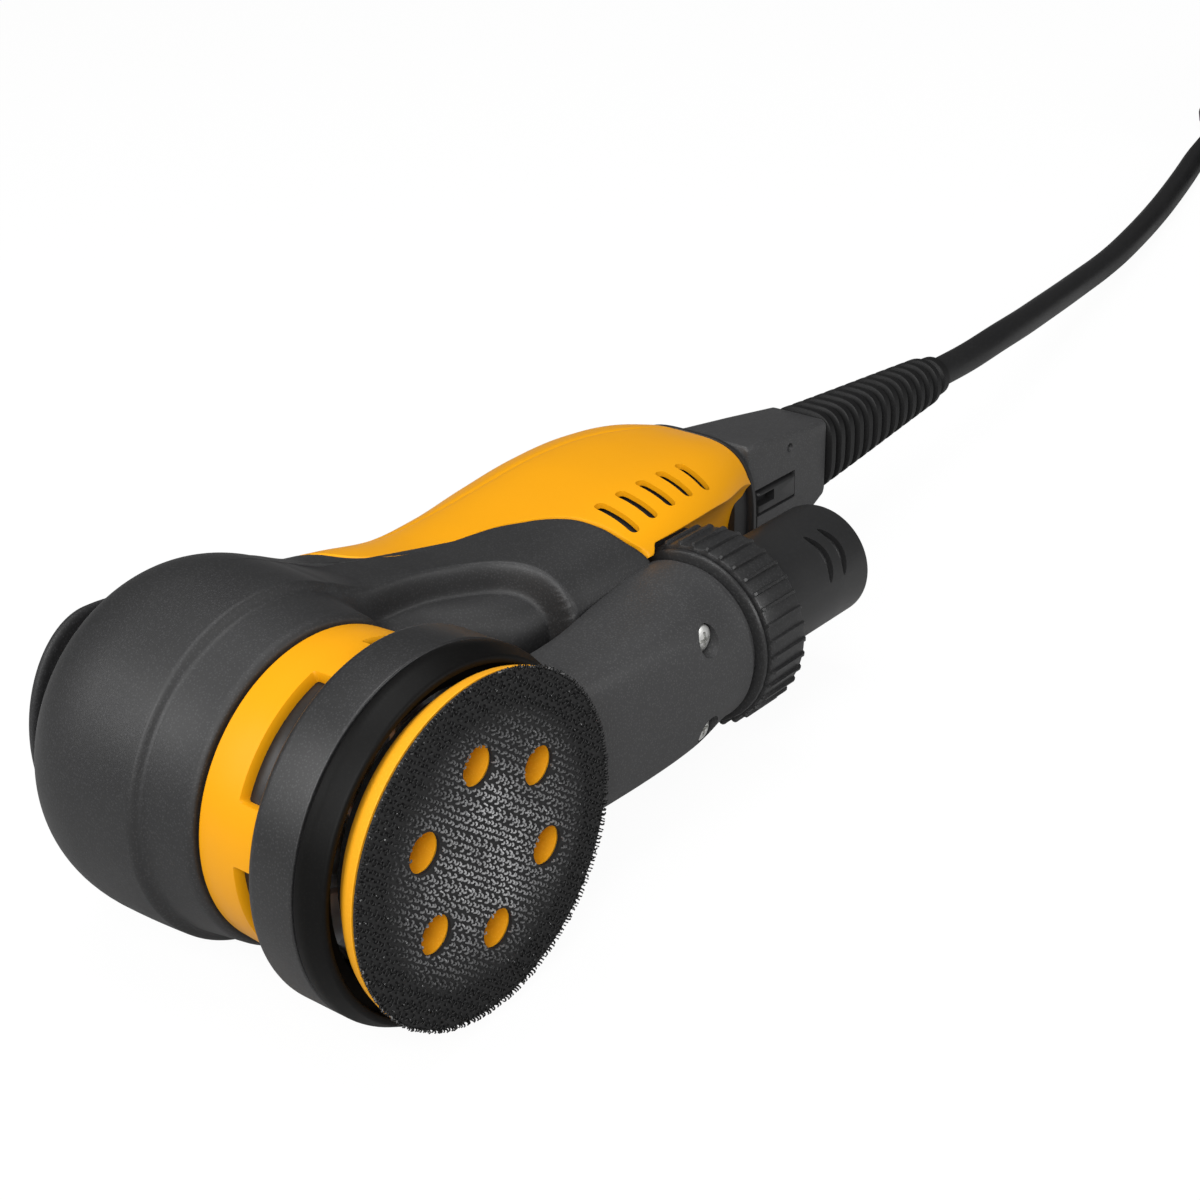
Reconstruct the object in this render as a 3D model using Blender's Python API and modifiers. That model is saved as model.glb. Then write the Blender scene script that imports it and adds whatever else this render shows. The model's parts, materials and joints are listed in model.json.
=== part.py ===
"""Compact random orbital sander with a mains lead, lying on its side.

The machine has its own axes: X runs back along the handle, Y runs up the motor axis from the
pad face, and Z points to the machine's left.  One empty, "machine", lays it on the floor with
the head and the side of the handle touching.  The lead, its coil and its plug are in the world.
"""
import math

import bmesh
import bpy
import numpy as np
from mathutils import Matrix, Vector

# Clearances and walls
GAP = 0.0003
RUN_GAP = 0.0006
WALL = 0.0026
TURN_STEPS = 36
PART_STEPS = 20
HOLE_STEPS = 12

# Sanding pad, heights up the motor axis from the hook face
PAD_R = 0.0385
HOOK_T = 0.0015
FOAM_T = 0.0075
FOAM_EDGE = 0.0026
FOAM_EDGE_R = 0.0371
FOAM_SHOULDER = 0.0054
FOAM_TOP_R = 0.0335
PLATE_R = 0.0310
PLATE_T = 0.0030
PAD_HOLES = 6
PAD_HOLE_R = 0.0044
PAD_HOLE_CIRCLE = 0.0202
PAD_HOLE_TURN = math.radians(36.0)
ORBIT_OFFSET = 0.00125
BOLT_R = 0.0047
BOLT_FLANGE_R = 0.0090
BOLT_FLANGE_T = 0.0018

# Shroud round the pad
SHROUD_R = 0.0412
SHROUD_T = 0.0028
SKIRT_BOTTOM = 0.0068
SKIRT_LIP_R = 0.0392
SEAM_Y = 0.0160
BAND_TOP = 0.0272
ROOF_T = 0.0022
ROOF_BORE = 0.0145
BAND_CHAMFER = 0.0030
MOUTH_IN_R = 0.0290

# Yellow motor ring and the plate inside it
RING_R = 0.0356
RING_T = 0.0024
RING_TOP = 0.0460
RING_LIP_R = 0.0308
RING_LIP_T = 0.0030
RING_WINDOWS = 5
RING_WINDOW_H = 0.0075
RING_WINDOW_HALF = math.radians(25.0)
RING_WINDOW_TURN = math.radians(157.0)
RING_WINDOW_IN_R = 0.0285
BEARING_PLATE_T = 0.0030

# Motor
SHAFT_R = 0.0040
LOWER_BEARING_R = 0.0110
LOWER_BEARING_T = 0.0070
UPPER_BEARING_R = 0.0095
UPPER_BEARING_T = 0.0060
HUB_WALL = 0.0027
CARRIER_R = 0.0130
CARRIER_BOTTOM = 0.0152
PAD_BEARING_R = 0.0095
PAD_BEARING_T = 0.0090
FAN_R = 0.0290
FAN_DISC_T = 0.0022
FAN_BLADE_H = 0.0024
FAN_BLADES = 9
FAN_HUB_R = 0.0145
FAN_LEAN = 0.5
DUST_FAN_LEAN = 0.4
DUST_FAN_TURN = 0.2
BLADE_T = 0.0014
DUST_FAN_R = 0.0310
DUST_BLADE_H = 0.0045
STATOR_BOTTOM = 0.0545
STATOR_TOP = 0.0800
STATOR_BORE = 0.0125
WINDING_H = 0.0045
WINDING_IN = 0.0150
WINDING_OUT = 0.0280
ROTOR_R = 0.0119
MOTOR_CAN_IN = 0.0303
MOTOR_CAN_OUT = 0.0332
MOTOR_CAN_TOP = STATOR_TOP + 0.0150

# Domed head of the grip
DOME_R = SHROUD_R
DOME_MID_Y = 0.0780
DOME_TOP = MOTOR_CAN_TOP + 0.0060
DOME_EDGE_R = 0.0362
DOME_CROWN_R = 0.0260

# Handle: station along X, top, bottom and half width
HANDLE_STATIONS = (
    (0.0240, 0.0990, 0.0470, 0.0320),
    (0.0420, 0.0970, 0.0420, 0.0300),
    (0.0580, 0.0950, 0.0330, 0.0280),
    (0.0760, 0.0955, 0.0310, 0.0280),
    (0.0960, 0.0980, 0.0300, 0.0290),
    (0.1160, 0.0995, 0.0310, 0.0300),
    (0.1360, 0.0990, 0.0360, 0.0295),
    (0.1520, 0.0955, 0.0420, 0.0275),
    (0.1620, 0.0900, 0.0465, 0.0250),
)
HANDLE_SQUARE = 3.4
HANDLE_SIDES = 28
CAVITY_FRONT = 0.0385
GRIP_EDGE = (
    (0.0360, 0.1100), (0.0380, 0.0830), (0.0440, 0.0720), (0.0500, 0.0685), (0.0620, 0.0665),
    (0.0740, 0.0640), (0.0840, 0.0590), (0.0910, 0.0520), (0.0937, 0.0442), (0.0959, 0.0367),
    (0.0985, 0.0335), (0.1000, 0.0310), (0.1000, 0.0000),
)
COVER_EDGE = (
    (0.0378, 0.0858), (0.0460, 0.0852), (0.0620, 0.0840), (0.0880, 0.0832), (0.1120, 0.0832),
    (0.1340, 0.0806), (0.1500, 0.0755), (0.1680, 0.0685),
)
VENTS = 5
VENT_X = 0.1006
VENT_PITCH = 0.0082
VENT_Y = 0.0446
VENT_LENGTH = 0.0127
VENT_WIDTH = 0.0030
VENT_LEAN = math.radians(2.5)

# Dust duct, collar and swivelling spigot on the tail axis
TAIL_Y = 0.0250
NECK_R = 0.0207
DUCT_STATIONS = (
    (0.0340, 0.0310, 0.0075, 0.0185, 4.0),
    (0.0600, 0.0325, 0.0060, 0.0185, 4.0),
    (0.0820, 0.0390, 0.0048, 0.0195, 3.0),
    (0.0965, TAIL_Y + NECK_R, TAIL_Y - NECK_R, NECK_R, 2.0),
    (0.1030, TAIL_Y + NECK_R, TAIL_Y - NECK_R, NECK_R, 2.0),
)
DUCT_SIDES = 24
TAIL_STEPS = 30
SCREW_X = 0.0855
SCREW_Z = 0.0115
SCREW_SEAT_Y = 0.0100
SCREW_HEAD_R = 0.0034
SCREW_HEAD_T = 0.0020
SCREW_SHANK_R = 0.0015
SCREW_SHANK = 0.0050
SCREW_SLOT = 0.0009
SCREW_SLOT_HALF = 0.0020
BOSS_R = 0.0060
COLLAR_LENGTH = 0.0165
COLLAR_R = 0.0230
COLLAR_RIBS = 36
COLLAR_RIB_H = 0.0008
COLLAR_RIB_W = 0.0010
SPIGOT_R = 0.0149
SPIGOT_T = 0.0022
SPIGOT_END = 0.1610
SPIGOT_FLANGE_T = 0.0030
CHANNEL_R = 0.0260

# Palm lever on the head
LEVER_CENTRE_X = -0.0093
LEVER_HALF = 0.0278
LEVER_FRONT = 0.0190
LEVER_BACK = 0.0330
LEVER_T = 0.0026
LEVER_RISE = 0.0050
LEVER_TONGUE = 0.0080
LEVER_TONGUE_END = 0.0045
LEVER_STEPS = 9
PIVOT_X = 0.0520
PIVOT_DROP = 0.0034
KNUCKLE_R = 0.0042
KNUCKLE_HALF = 0.0050
PIN_R = 0.0018
EAR_IN = 0.0105
EAR_T = 0.0028
EAR_R = 0.0048
EAR_SINK = 0.0021
SPRING_TURNS = 3
SPRING_WIRE = 0.0004
SPRING_R = 0.0031
SPRING_POINTS = 10
PIN_STEPS = 16

# Push buttons along the top of the handle
BUTTONS = (("power_button", 0.0760, 0.0055), ("speed_up_button", 0.0920, 0.0045),
           ("speed_down_button", 0.1055, 0.0045))
BUTTON_PROUD = 0.0012
BUTTON_EDGE = 0.0009
BUTTON_DEPTH = 0.0085
LIGHT_X = 0.1180
LIGHT_R = 0.0016

# Electronics in the handle
BOARD_X = (0.1000, 0.1420)
BOARD_Y = 0.0600
BOARD_T = 0.0016
BOARD_SIDE_GAP = 0.0006
CAPACITOR_R = 0.0080
CAPACITOR_H = 0.0130

# Mains inlet, connector and strain relief
INLET_T = 0.0020
CONNECTOR_STATIONS = (
    (0.0000, 0.0745, 0.0505, 0.0218, 0.0017),
    (0.0200, 0.0720, 0.0505, 0.0163, 0.0052),
    (0.0397, 0.0695, 0.0510, 0.0109, 0.0084),
)
CONNECTOR_SQUARE = 7.0
LATCH_X = 0.0044
LATCH_Z = 0.0060
LATCH_LENGTH = 0.0178
LATCH_HALF = 0.0030
LATCH_DEPTH = 0.0040
LATCH_PROUD = 0.0014
LATCH_TRAVEL = 0.0012
RELIEF_LENGTH = 0.0730
RELIEF_RISE = 0.0006
RELIEF_START = (0.0600, 0.0086)
RELIEF_HALF = (0.0090, 0.0106)
RELIEF_END_R = 0.0056
RELIEF_RIBS = 14
RELIEF_RIB_H = 0.0011
RELIEF_SIDES = 12
RELIEF_SQUARE = (3.2, 2.0)

# Mains lead: world positions, in metres
CORD_D = 0.0090
CORD_FLOOR = CORD_D / 2
CORD_ROUTE = (
    (0.1929, 0.0058, 0.0242), (0.2154, 0.0079, 0.0216), (0.2427, 0.0118, 0.0180),
    (0.2759, 0.0171, 0.0134), (0.3161, 0.0235, 0.0087), (0.3633, 0.0320, 0.0060),
    (0.4063, 0.0413, CORD_FLOOR), (0.4463, 0.0503, CORD_FLOOR), (0.4843, 0.0575, CORD_FLOOR),
)
COIL_CENTRE = (0.5223, -0.0043)
COIL_TURNS = 10.5
COIL_LAYERS = 4
COIL_MEAN_R = 0.0540
COIL_STEP = CORD_D + 0.0006
COIL_LIFT = 0.0018
COIL_RISE_TURNS = 0.5
LOOP_POINTS = 24
LEAST_SELF_GAP = 0.0004
ROUTE_SPACING = CORD_D * 2.2
ROUTE_LEAD_IN = CORD_D * 2.5
ROUTE_STEPS = 24
PLUG_R = 0.0180
PLUG_Z = PLUG_R + GAP
TAIL_ROUTE = (
    (0.4663, -0.0712, 0.0300), (0.4403, -0.0722, 0.0215), (0.4163, -0.0737, PLUG_Z),
    (0.3963, -0.0747, PLUG_Z), (0.3763, -0.0757, PLUG_Z),
)
PLUG_LENGTH = 0.0340
PLUG_NECK_R = 0.0070
PLUG_NECK = 0.0160
PLUG_FORM = ((0.94, 1.00), (1.00, 0.92), (1.00, 0.45), (0.80, 0.12))
PLUG_NECK_END_R = 0.0060
PLUG_PIN_STEPS = 12
PIN_LENGTH = 0.0190
PLUG_PIN_R = 0.0024
PLUG_PIN_PITCH = 0.0190
TIE_WIDTH = 0.0120
TIE_T = 0.0010

# Heights that follow from the sizes above
FOAM_Y = HOOK_T + GAP
PLATE_Y = FOAM_Y + FOAM_T + GAP
BOLT_Y = PLATE_Y + PLATE_T + GAP
ROOF_Y = BAND_TOP - ROOF_T
RING_Y = BAND_TOP + GAP
HUB_TOP = RING_Y + BEARING_PLATE_T + LOWER_BEARING_T + GAP
DUCT_END = DUCT_STATIONS[-1][0]
COLLAR_X = DUCT_END + GAP
HANDLE_END = HANDLE_STATIONS[-1][0]
INLET_X = HANDLE_END + GAP
CONNECTOR_X = INLET_X + INLET_T + GAP
CONNECTOR_END = CONNECTOR_X + CONNECTOR_STATIONS[-1][0]
LEVER_Y = DOME_TOP + LEVER_RISE
PIVOT_Y = LEVER_Y - PIVOT_DROP


def side_lay_angle():
    """Tail-down angle at which the widest handle station meets the floor beside the head."""
    leans = []
    for x, _, _, half in HANDLE_STATIONS[3:]:
        leans.append(math.asin(SHROUD_R / math.hypot(x, half)) - math.atan2(half, x))
    return min(leans)


LAY_ANGLE = side_lay_angle()


def clear_scene():
    for obj in list(bpy.data.objects):
        bpy.data.objects.remove(obj, do_unlink=True)


def new_collection(name):
    collection = bpy.data.collections.new(name)
    bpy.context.scene.collection.children.link(collection)
    return collection


def new_material(name, colour, roughness, metallic=0.0):
    material = bpy.data.materials.new(name)
    material.use_nodes = True
    shader = material.node_tree.nodes["Principled BSDF"]
    shader.inputs["Base Color"].default_value = (*colour, 1.0)
    shader.inputs["Roughness"].default_value = roughness
    shader.inputs["Metallic"].default_value = metallic
    return material


clear_scene()
PARTS = new_collection("random_orbital_sander")
CUTTERS = new_collection("cutters")
BLACK = new_material("black_plastic", (0.018, 0.018, 0.019), 0.45)
SOFT_BLACK = new_material("soft_black_overmould", (0.028, 0.028, 0.030), 0.62)
YELLOW = new_material("yellow_plastic", (0.930, 0.430, 0.012), 0.40)
FOAM = new_material("yellow_foam", (0.900, 0.480, 0.020), 0.85)
HOOK = new_material("black_hook_fabric", (0.025, 0.025, 0.027), 0.95)
RUBBER = new_material("black_rubber", (0.020, 0.020, 0.021), 0.60)
STEEL = new_material("steel", (0.600, 0.600, 0.620), 0.28, 1.0)
ALUMINIUM = new_material("aluminium", (0.700, 0.710, 0.720), 0.35, 1.0)
LAMINATION = new_material("lamination_steel", (0.300, 0.300, 0.320), 0.45, 1.0)
COPPER = new_material("copper_winding", (0.720, 0.330, 0.140), 0.40, 1.0)
BOARD = new_material("circuit_board", (0.020, 0.160, 0.060), 0.50)
CLEAR_GREEN = new_material("light_pipe", (0.100, 0.700, 0.200), 0.20)

MACHINE = bpy.data.objects.new("machine", None)
PARTS.objects.link(MACHINE)
MACHINE.rotation_euler = (0.0, LAY_ANGLE, 0.0)


def axis_empty(name, location, parent=MACHINE):
    """Empty that marks a joint's axis in the machine's own axes."""
    empty = bpy.data.objects.new(name, None)
    empty.location = location
    empty.parent = parent
    PARTS.objects.link(empty)
    return empty


def add_part(name, mesh, material, parent=MACHINE):
    mesh.materials.clear()
    mesh.materials.append(material)
    obj = bpy.data.objects.new(name, mesh)
    obj.parent = parent
    PARTS.objects.link(obj)
    return obj


def add_cutter(name, mesh):
    obj = bpy.data.objects.new(name, mesh)
    obj.parent = MACHINE
    obj.hide_render = True
    obj.display_type = "WIRE"
    CUTTERS.objects.link(obj)
    return obj


def boolean(obj, other, operation):
    modifier = obj.modifiers.new(operation.lower() + "_" + other.name, "BOOLEAN")
    modifier.object = other
    modifier.operation = operation
    modifier.solver = "EXACT"
    return obj


def smooth(mesh, angle=35.0):
    mesh.shade_smooth()
    mesh.set_sharp_from_angle(angle=math.radians(angle))
    return mesh


def bm_mesh(name, bm):
    bmesh.ops.recalc_face_normals(bm, faces=bm.faces[:])
    mesh = bpy.data.meshes.new(name)
    bm.to_mesh(mesh)
    bm.free()
    return smooth(mesh)


def turned_mesh(name, profile, steps=TURN_STEPS):
    """Profile of (radius, height) turned about the height, which then lies along Y.

    An open profile starts and ends on the axis, and a closed one goes round its section.
    """
    mesh = bpy.data.meshes.new(name + "_profile")
    on_axis = profile[0][0] == 0.0
    points = [(radius, 0.0, height) for radius, height in profile]
    edges = [(i, i + 1) for i in range(len(points) - 1)]
    if not on_axis:
        edges.append((len(points) - 1, 0))
    mesh.from_pydata(points, edges, [])
    source = bpy.data.objects.new(name + "_profile", mesh)
    CUTTERS.objects.link(source)
    screw = source.modifiers.new("turn", "SCREW")
    screw.steps = steps
    screw.render_steps = steps
    screw.use_merge_vertices = True
    screw.merge_threshold = 0.00001
    source.rotation_euler = (-math.pi / 2, 0.0, 0.0)
    return baked(source, name)


def baked(source, name):
    """Evaluated mesh of an object in the axes of its parent, and the source removed."""
    bpy.context.view_layer.update()
    evaluated = source.evaluated_get(bpy.context.evaluated_depsgraph_get())
    mesh = bpy.data.meshes.new_from_object(evaluated)
    mesh.name = name
    mesh.transform(source.matrix_basis)
    bm = bmesh.new()
    bm.from_mesh(mesh)
    bmesh.ops.remove_doubles(bm, verts=bm.verts[:], dist=0.000005)
    bmesh.ops.recalc_face_normals(bm, faces=bm.faces[:])
    bm.to_mesh(mesh)
    bm.free()
    bpy.data.objects.remove(source, do_unlink=True)
    return smooth(mesh)


def ring_profile(inner, outer, bottom, top):
    return ((outer, top), (outer, bottom), (inner, bottom), (inner, top))


def turned(name, profile, material, parent=MACHINE, steps=TURN_STEPS):
    return add_part(name, turned_mesh(name, profile, steps), material, parent)


def loft_mesh(name, sections):
    """Closed skin through sections of like point counts."""
    bm = bmesh.new()
    rows = [[bm.verts.new(point) for point in section] for section in sections]
    count = len(rows[0])
    for first, second in zip(rows, rows[1:]):
        for i in range(count):
            j = (i + 1) % count
            bm.faces.new((first[i], first[j], second[j], second[i]))
    bm.faces.new(rows[0])
    bm.faces.new(list(reversed(rows[-1])))
    return bm_mesh(name, bm)


def rounded_section(x, top, bottom, half, square, sides):
    """Superellipse across X: full height from bottom to top, half width to each side."""
    angles = np.arange(sides) * 2.0 * math.pi / sides
    cos, sin = np.cos(angles), np.sin(angles)
    y = (top + bottom) / 2 + (top - bottom) / 2 * np.sign(cos) * np.abs(cos) ** (2.0 / square)
    z = half * np.sign(sin) * np.abs(sin) ** (2.0 / square)
    return [(x, float(b), float(c)) for b, c in zip(y, z)]


def stations_mesh(name, stations, sides, grow=0.0, lengthen=0.0):
    """Loft through (x, top, bottom, half width, squareness), each grown by an even margin."""
    sections = []
    last = len(stations) - 1
    for i, (x, top, bottom, half, square) in enumerate(stations):
        shift = lengthen * ((i == last) - (i == 0))
        sections.append(rounded_section(x + shift, top + grow, bottom - grow, half + grow, square, sides))
    return loft_mesh(name, sections)


def prism_mesh(name, outline, half, normal="Z"):
    """Flat outline filled and extruded to both sides of its plane."""
    curve = bpy.data.curves.new(name, "CURVE")
    curve.dimensions = "2D"
    curve.fill_mode = "BOTH"
    curve.extrude = half
    spline = curve.splines.new("POLY")
    spline.points.add(len(outline) - 1)
    for point, (u, v) in zip(spline.points, outline):
        point.co = (u, v, 0.0, 1.0)
    spline.use_cyclic_u = True
    source = bpy.data.objects.new(name, curve)
    if normal == "Y":
        source.rotation_euler = (math.pi / 2, 0.0, 0.0)
    CUTTERS.objects.link(source)
    return baked(source, name)


def box_mesh(name, low, high):
    bm = bmesh.new()
    bmesh.ops.create_cube(bm, size=1.0)
    size = Vector(high) - Vector(low)
    bmesh.ops.scale(bm, vec=size, verts=bm.verts[:])
    bmesh.ops.translate(bm, vec=(Vector(low) + Vector(high)) / 2, verts=bm.verts[:])
    return bm_mesh(name, bm)


def rod_mesh(name, radius, start, end, steps=PART_STEPS, end_radius=None):
    """Closed cylinder or cone from one point to another."""
    bm = bmesh.new()
    axis = Vector(end) - Vector(start)
    second = radius if end_radius is None else end_radius
    bmesh.ops.create_cone(bm, cap_ends=True, segments=steps, radius1=radius, radius2=second,
                          depth=axis.length)
    bmesh.ops.rotate(bm, matrix=Vector((0.0, 0.0, 1.0)).rotation_difference(axis).to_matrix(),
                     verts=bm.verts[:])
    bmesh.ops.translate(bm, vec=(Vector(start) + Vector(end)) / 2, verts=bm.verts[:])
    return bm_mesh(name, bm)


def radial_boxes_mesh(name, count, inner, outer, low, high, thick, phase=0.0, lean=0.0):
    """Boxes set round the motor axis like fan blades, as separate bodies of one mesh."""
    bm = bmesh.new()
    for i in range(count):
        angle = phase + i * 2.0 * math.pi / count
        start = len(bm.verts)
        bmesh.ops.create_cube(bm, size=1.0)
        bm.verts.ensure_lookup_table()
        verts = bm.verts[start:]
        bmesh.ops.scale(bm, vec=(outer - inner, high - low, thick), verts=verts)
        bmesh.ops.rotate(bm, matrix=Matrix.Rotation(lean, 3, "Y"), verts=verts)
        bmesh.ops.translate(bm, vec=((inner + outer) / 2, (low + high) / 2, 0.0), verts=verts)
        bmesh.ops.rotate(bm, matrix=Matrix.Rotation(angle, 3, "Y"), verts=verts)
    return bm_mesh(name, bm)


def offset_line(points, distance):
    """Polyline moved sideways, to the left of its run where the distance is positive."""
    path = np.array(points)
    run = np.gradient(path, axis=0)
    run /= np.linalg.norm(run, axis=1)[:, None]
    left = np.stack((-run[:, 1], run[:, 0]), axis=1)
    return [tuple(map(float, point)) for point in path + left * distance]


def bore_holes(obj, name, circle, radius, count, phase, low, high, centre_x=0.0):
    for i in range(count):
        angle = phase + i * 2.0 * math.pi / count
        x = centre_x + circle * math.cos(angle)
        z = circle * math.sin(angle)
        mesh = rod_mesh(name + str(i), radius, (x, low, z), (x, high, z), HOLE_STEPS)
        boolean(obj, add_cutter(name + str(i), mesh), "DIFFERENCE")


def build_pad(axis):
    """Hook face, foam and backing plate on the bolt that turns in the eccentric bearing."""
    hook = turned("hook_face", ((0.0, HOOK_T), (PAD_R, HOOK_T), (PAD_R, 0.0), (0.0, 0.0)), HOOK, axis)
    foam_top = FOAM_Y + FOAM_T
    foam = turned("pad_foam", ((0.0, foam_top), (FOAM_TOP_R, foam_top),
                               (FOAM_TOP_R, FOAM_Y + FOAM_SHOULDER), (FOAM_EDGE_R, FOAM_Y + FOAM_EDGE),
                               (PAD_R, FOAM_Y), (0.0, FOAM_Y)), FOAM, axis)
    plate_top = PLATE_Y + PLATE_T
    plate = turned("pad_plate", ((0.0, plate_top), (PLATE_R, plate_top), (PLATE_R, PLATE_Y),
                                 (0.0, PLATE_Y)), BLACK, axis)
    for piece, low, high in ((hook, 0.0, HOOK_T), (foam, FOAM_Y, foam_top), (plate, PLATE_Y, plate_top)):
        bore_holes(piece, piece.name + "_hole", PAD_HOLE_CIRCLE, PAD_HOLE_R, PAD_HOLES, PAD_HOLE_TURN,
                   low - WALL, high + WALL)
    flange_top = BOLT_Y + BOLT_FLANGE_T
    bolt_top = CARRIER_BOTTOM + GAP + PAD_BEARING_T
    turned("pad_bolt", ((0.0, bolt_top), (BOLT_R, bolt_top), (BOLT_R, flange_top),
                        (BOLT_FLANGE_R, flange_top), (BOLT_FLANGE_R, BOLT_Y), (0.0, BOLT_Y)),
           STEEL, axis, PART_STEPS)


def build_spindle(axis):
    """Shaft with its eccentric carrier, the rotor and both fans, all turning on the motor axis."""
    carrier_top = ROOF_Y + ROOF_T - RUN_GAP
    shaft_top = MOTOR_CAN_TOP - WALL - RUN_GAP
    spindle = turned("spindle", ((0.0, shaft_top), (SHAFT_R, shaft_top), (SHAFT_R, carrier_top),
                                 (CARRIER_R, carrier_top), (CARRIER_R, CARRIER_BOTTOM),
                                 (0.0, CARRIER_BOTTOM)), STEEL, axis, PART_STEPS)
    pocket_top = CARRIER_BOTTOM + GAP + PAD_BEARING_T + GAP
    pocket = rod_mesh("bearing_pocket", PAD_BEARING_R + GAP, (ORBIT_OFFSET, CARRIER_BOTTOM - WALL, 0.0),
                      (ORBIT_OFFSET, pocket_top, 0.0), PART_STEPS)
    boolean(spindle, add_cutter("bearing_pocket", pocket), "DIFFERENCE")
    bearing = turned("pad_bearing", ring_profile(BOLT_R + GAP, PAD_BEARING_R, CARRIER_BOTTOM + GAP,
                                                 CARRIER_BOTTOM + GAP + PAD_BEARING_T),
                     STEEL, axis, PART_STEPS)
    bearing.location.x = ORBIT_OFFSET
    turned("rotor_core", ring_profile(SHAFT_R + GAP, ROTOR_R, STATOR_BOTTOM, STATOR_TOP),
           LAMINATION, axis, PART_STEPS)
    fan_low = HUB_TOP + RUN_GAP
    fan_top = fan_low + FAN_DISC_T
    fan = turned("cooling_fan", ring_profile(SHAFT_R + GAP, FAN_R, fan_low, fan_top), BLACK, axis)
    blades = radial_boxes_mesh("cooling_blades", FAN_BLADES, FAN_HUB_R, FAN_R - BLADE_T,
                               fan_top - BLADE_T, fan_top + FAN_BLADE_H, BLADE_T, 0.0, FAN_LEAN)
    boolean(fan, add_cutter("cooling_blades", blades), "UNION")
    disc_top = ROOF_Y - RUN_GAP
    disc_low = disc_top - FAN_DISC_T
    dust_fan = turned("dust_fan", ring_profile(CARRIER_R + GAP, DUST_FAN_R, disc_low, disc_top),
                      ALUMINIUM, axis)
    dust_blades = radial_boxes_mesh("dust_blades", FAN_BLADES, CARRIER_R + WALL, DUST_FAN_R - BLADE_T,
                                    disc_low - DUST_BLADE_H, disc_low + BLADE_T, BLADE_T,
                                    DUST_FAN_TURN, DUST_FAN_LEAN)
    boolean(dust_fan, add_cutter("dust_blades", dust_blades), "UNION")


def build_shroud():
    """Brake skirt, the band above it with its dust mouth, and the castellated motor ring."""
    inner = SHROUD_R - SHROUD_T
    skirt_mid = (SKIRT_BOTTOM + SEAM_Y) / 2
    turned("brake_skirt", ((SHROUD_R, SEAM_Y), (SHROUD_R, skirt_mid), (SKIRT_LIP_R, SKIRT_BOTTOM),
                           (SKIRT_LIP_R - SHROUD_T, SKIRT_BOTTOM), (inner, skirt_mid), (inner, SEAM_Y)),
           RUBBER)
    band_low = SEAM_Y + GAP
    band = turned("shroud_band", ((ROOF_BORE, BAND_TOP), (SHROUD_R - BAND_CHAMFER, BAND_TOP),
                                  (SHROUD_R, BAND_TOP - BAND_CHAMFER / 2), (SHROUD_R, band_low),
                                  (inner, band_low), (inner, ROOF_Y), (ROOF_BORE, ROOF_Y)), BLACK)
    mouth_half = DUCT_STATIONS[0][3] - WALL * 2
    mouth = box_mesh("dust_mouth", (MOUTH_IN_R, band_low + WALL, -mouth_half),
                     (SHROUD_R + WALL, ROOF_Y - GAP, mouth_half))
    boolean(band, add_cutter("dust_mouth", mouth), "DIFFERENCE")
    lip_low = RING_TOP - RING_LIP_T
    ring = turned("motor_ring", ((RING_R, RING_TOP), (RING_R, RING_Y), (RING_R - RING_T, RING_Y),
                                 (RING_R - RING_T, lip_low), (RING_LIP_R, lip_low),
                                 (RING_LIP_R, RING_TOP)), YELLOW)
    width = 2.0 * RING_R * math.sin(RING_WINDOW_HALF)
    windows = radial_boxes_mesh("ring_windows", RING_WINDOWS, RING_WINDOW_IN_R, RING_R + WALL,
                                RING_Y - WALL, RING_Y + RING_WINDOW_H, width, RING_WINDOW_TURN)
    boolean(ring, add_cutter("ring_windows", windows), "DIFFERENCE")


def build_motor():
    """Bearing plate, bearings, stator with its end turns, and the can that holds them."""
    plate_top = RING_Y + BEARING_PLATE_T
    hub_r = LOWER_BEARING_R + GAP + HUB_WALL
    turned("bearing_plate", ((RING_R - RING_T - GAP, plate_top), (RING_R - RING_T - GAP, RING_Y),
                             (SHAFT_R + RUN_GAP, RING_Y), (SHAFT_R + RUN_GAP, plate_top),
                             (LOWER_BEARING_R + GAP, plate_top), (LOWER_BEARING_R + GAP, HUB_TOP),
                             (hub_r, HUB_TOP), (hub_r, plate_top)), ALUMINIUM)
    turned("lower_bearing", ring_profile(SHAFT_R + GAP, LOWER_BEARING_R, plate_top + GAP,
                                         plate_top + LOWER_BEARING_T), STEEL, MACHINE, PART_STEPS)
    turned("stator_core", ring_profile(STATOR_BORE, MOTOR_CAN_IN - GAP, STATOR_BOTTOM, STATOR_TOP),
           LAMINATION)
    turned("upper_windings", ring_profile(WINDING_IN, WINDING_OUT, STATOR_TOP + GAP,
                                          STATOR_TOP + GAP + WINDING_H), COPPER, MACHINE, PART_STEPS)
    turned("lower_windings", ring_profile(WINDING_IN, WINDING_OUT, STATOR_BOTTOM - GAP - WINDING_H,
                                          STATOR_BOTTOM - GAP), COPPER, MACHINE, PART_STEPS)
    seat_top = MOTOR_CAN_TOP - WALL
    seat_low = seat_top - UPPER_BEARING_T - 2 * GAP
    inner = ((MOTOR_CAN_IN, RING_TOP + GAP), (MOTOR_CAN_IN, seat_low - WALL), (WINDING_OUT, seat_low),
             (UPPER_BEARING_R + GAP, seat_low), (UPPER_BEARING_R + GAP, seat_top), (0.0, seat_top))
    turned("motor_can", can_outer(0.0) + inner, BLACK)
    turned("upper_bearing", ring_profile(SHAFT_R + GAP, UPPER_BEARING_R, seat_low + GAP,
                                         seat_low + GAP + UPPER_BEARING_T), STEEL, MACHINE, PART_STEPS)


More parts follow.
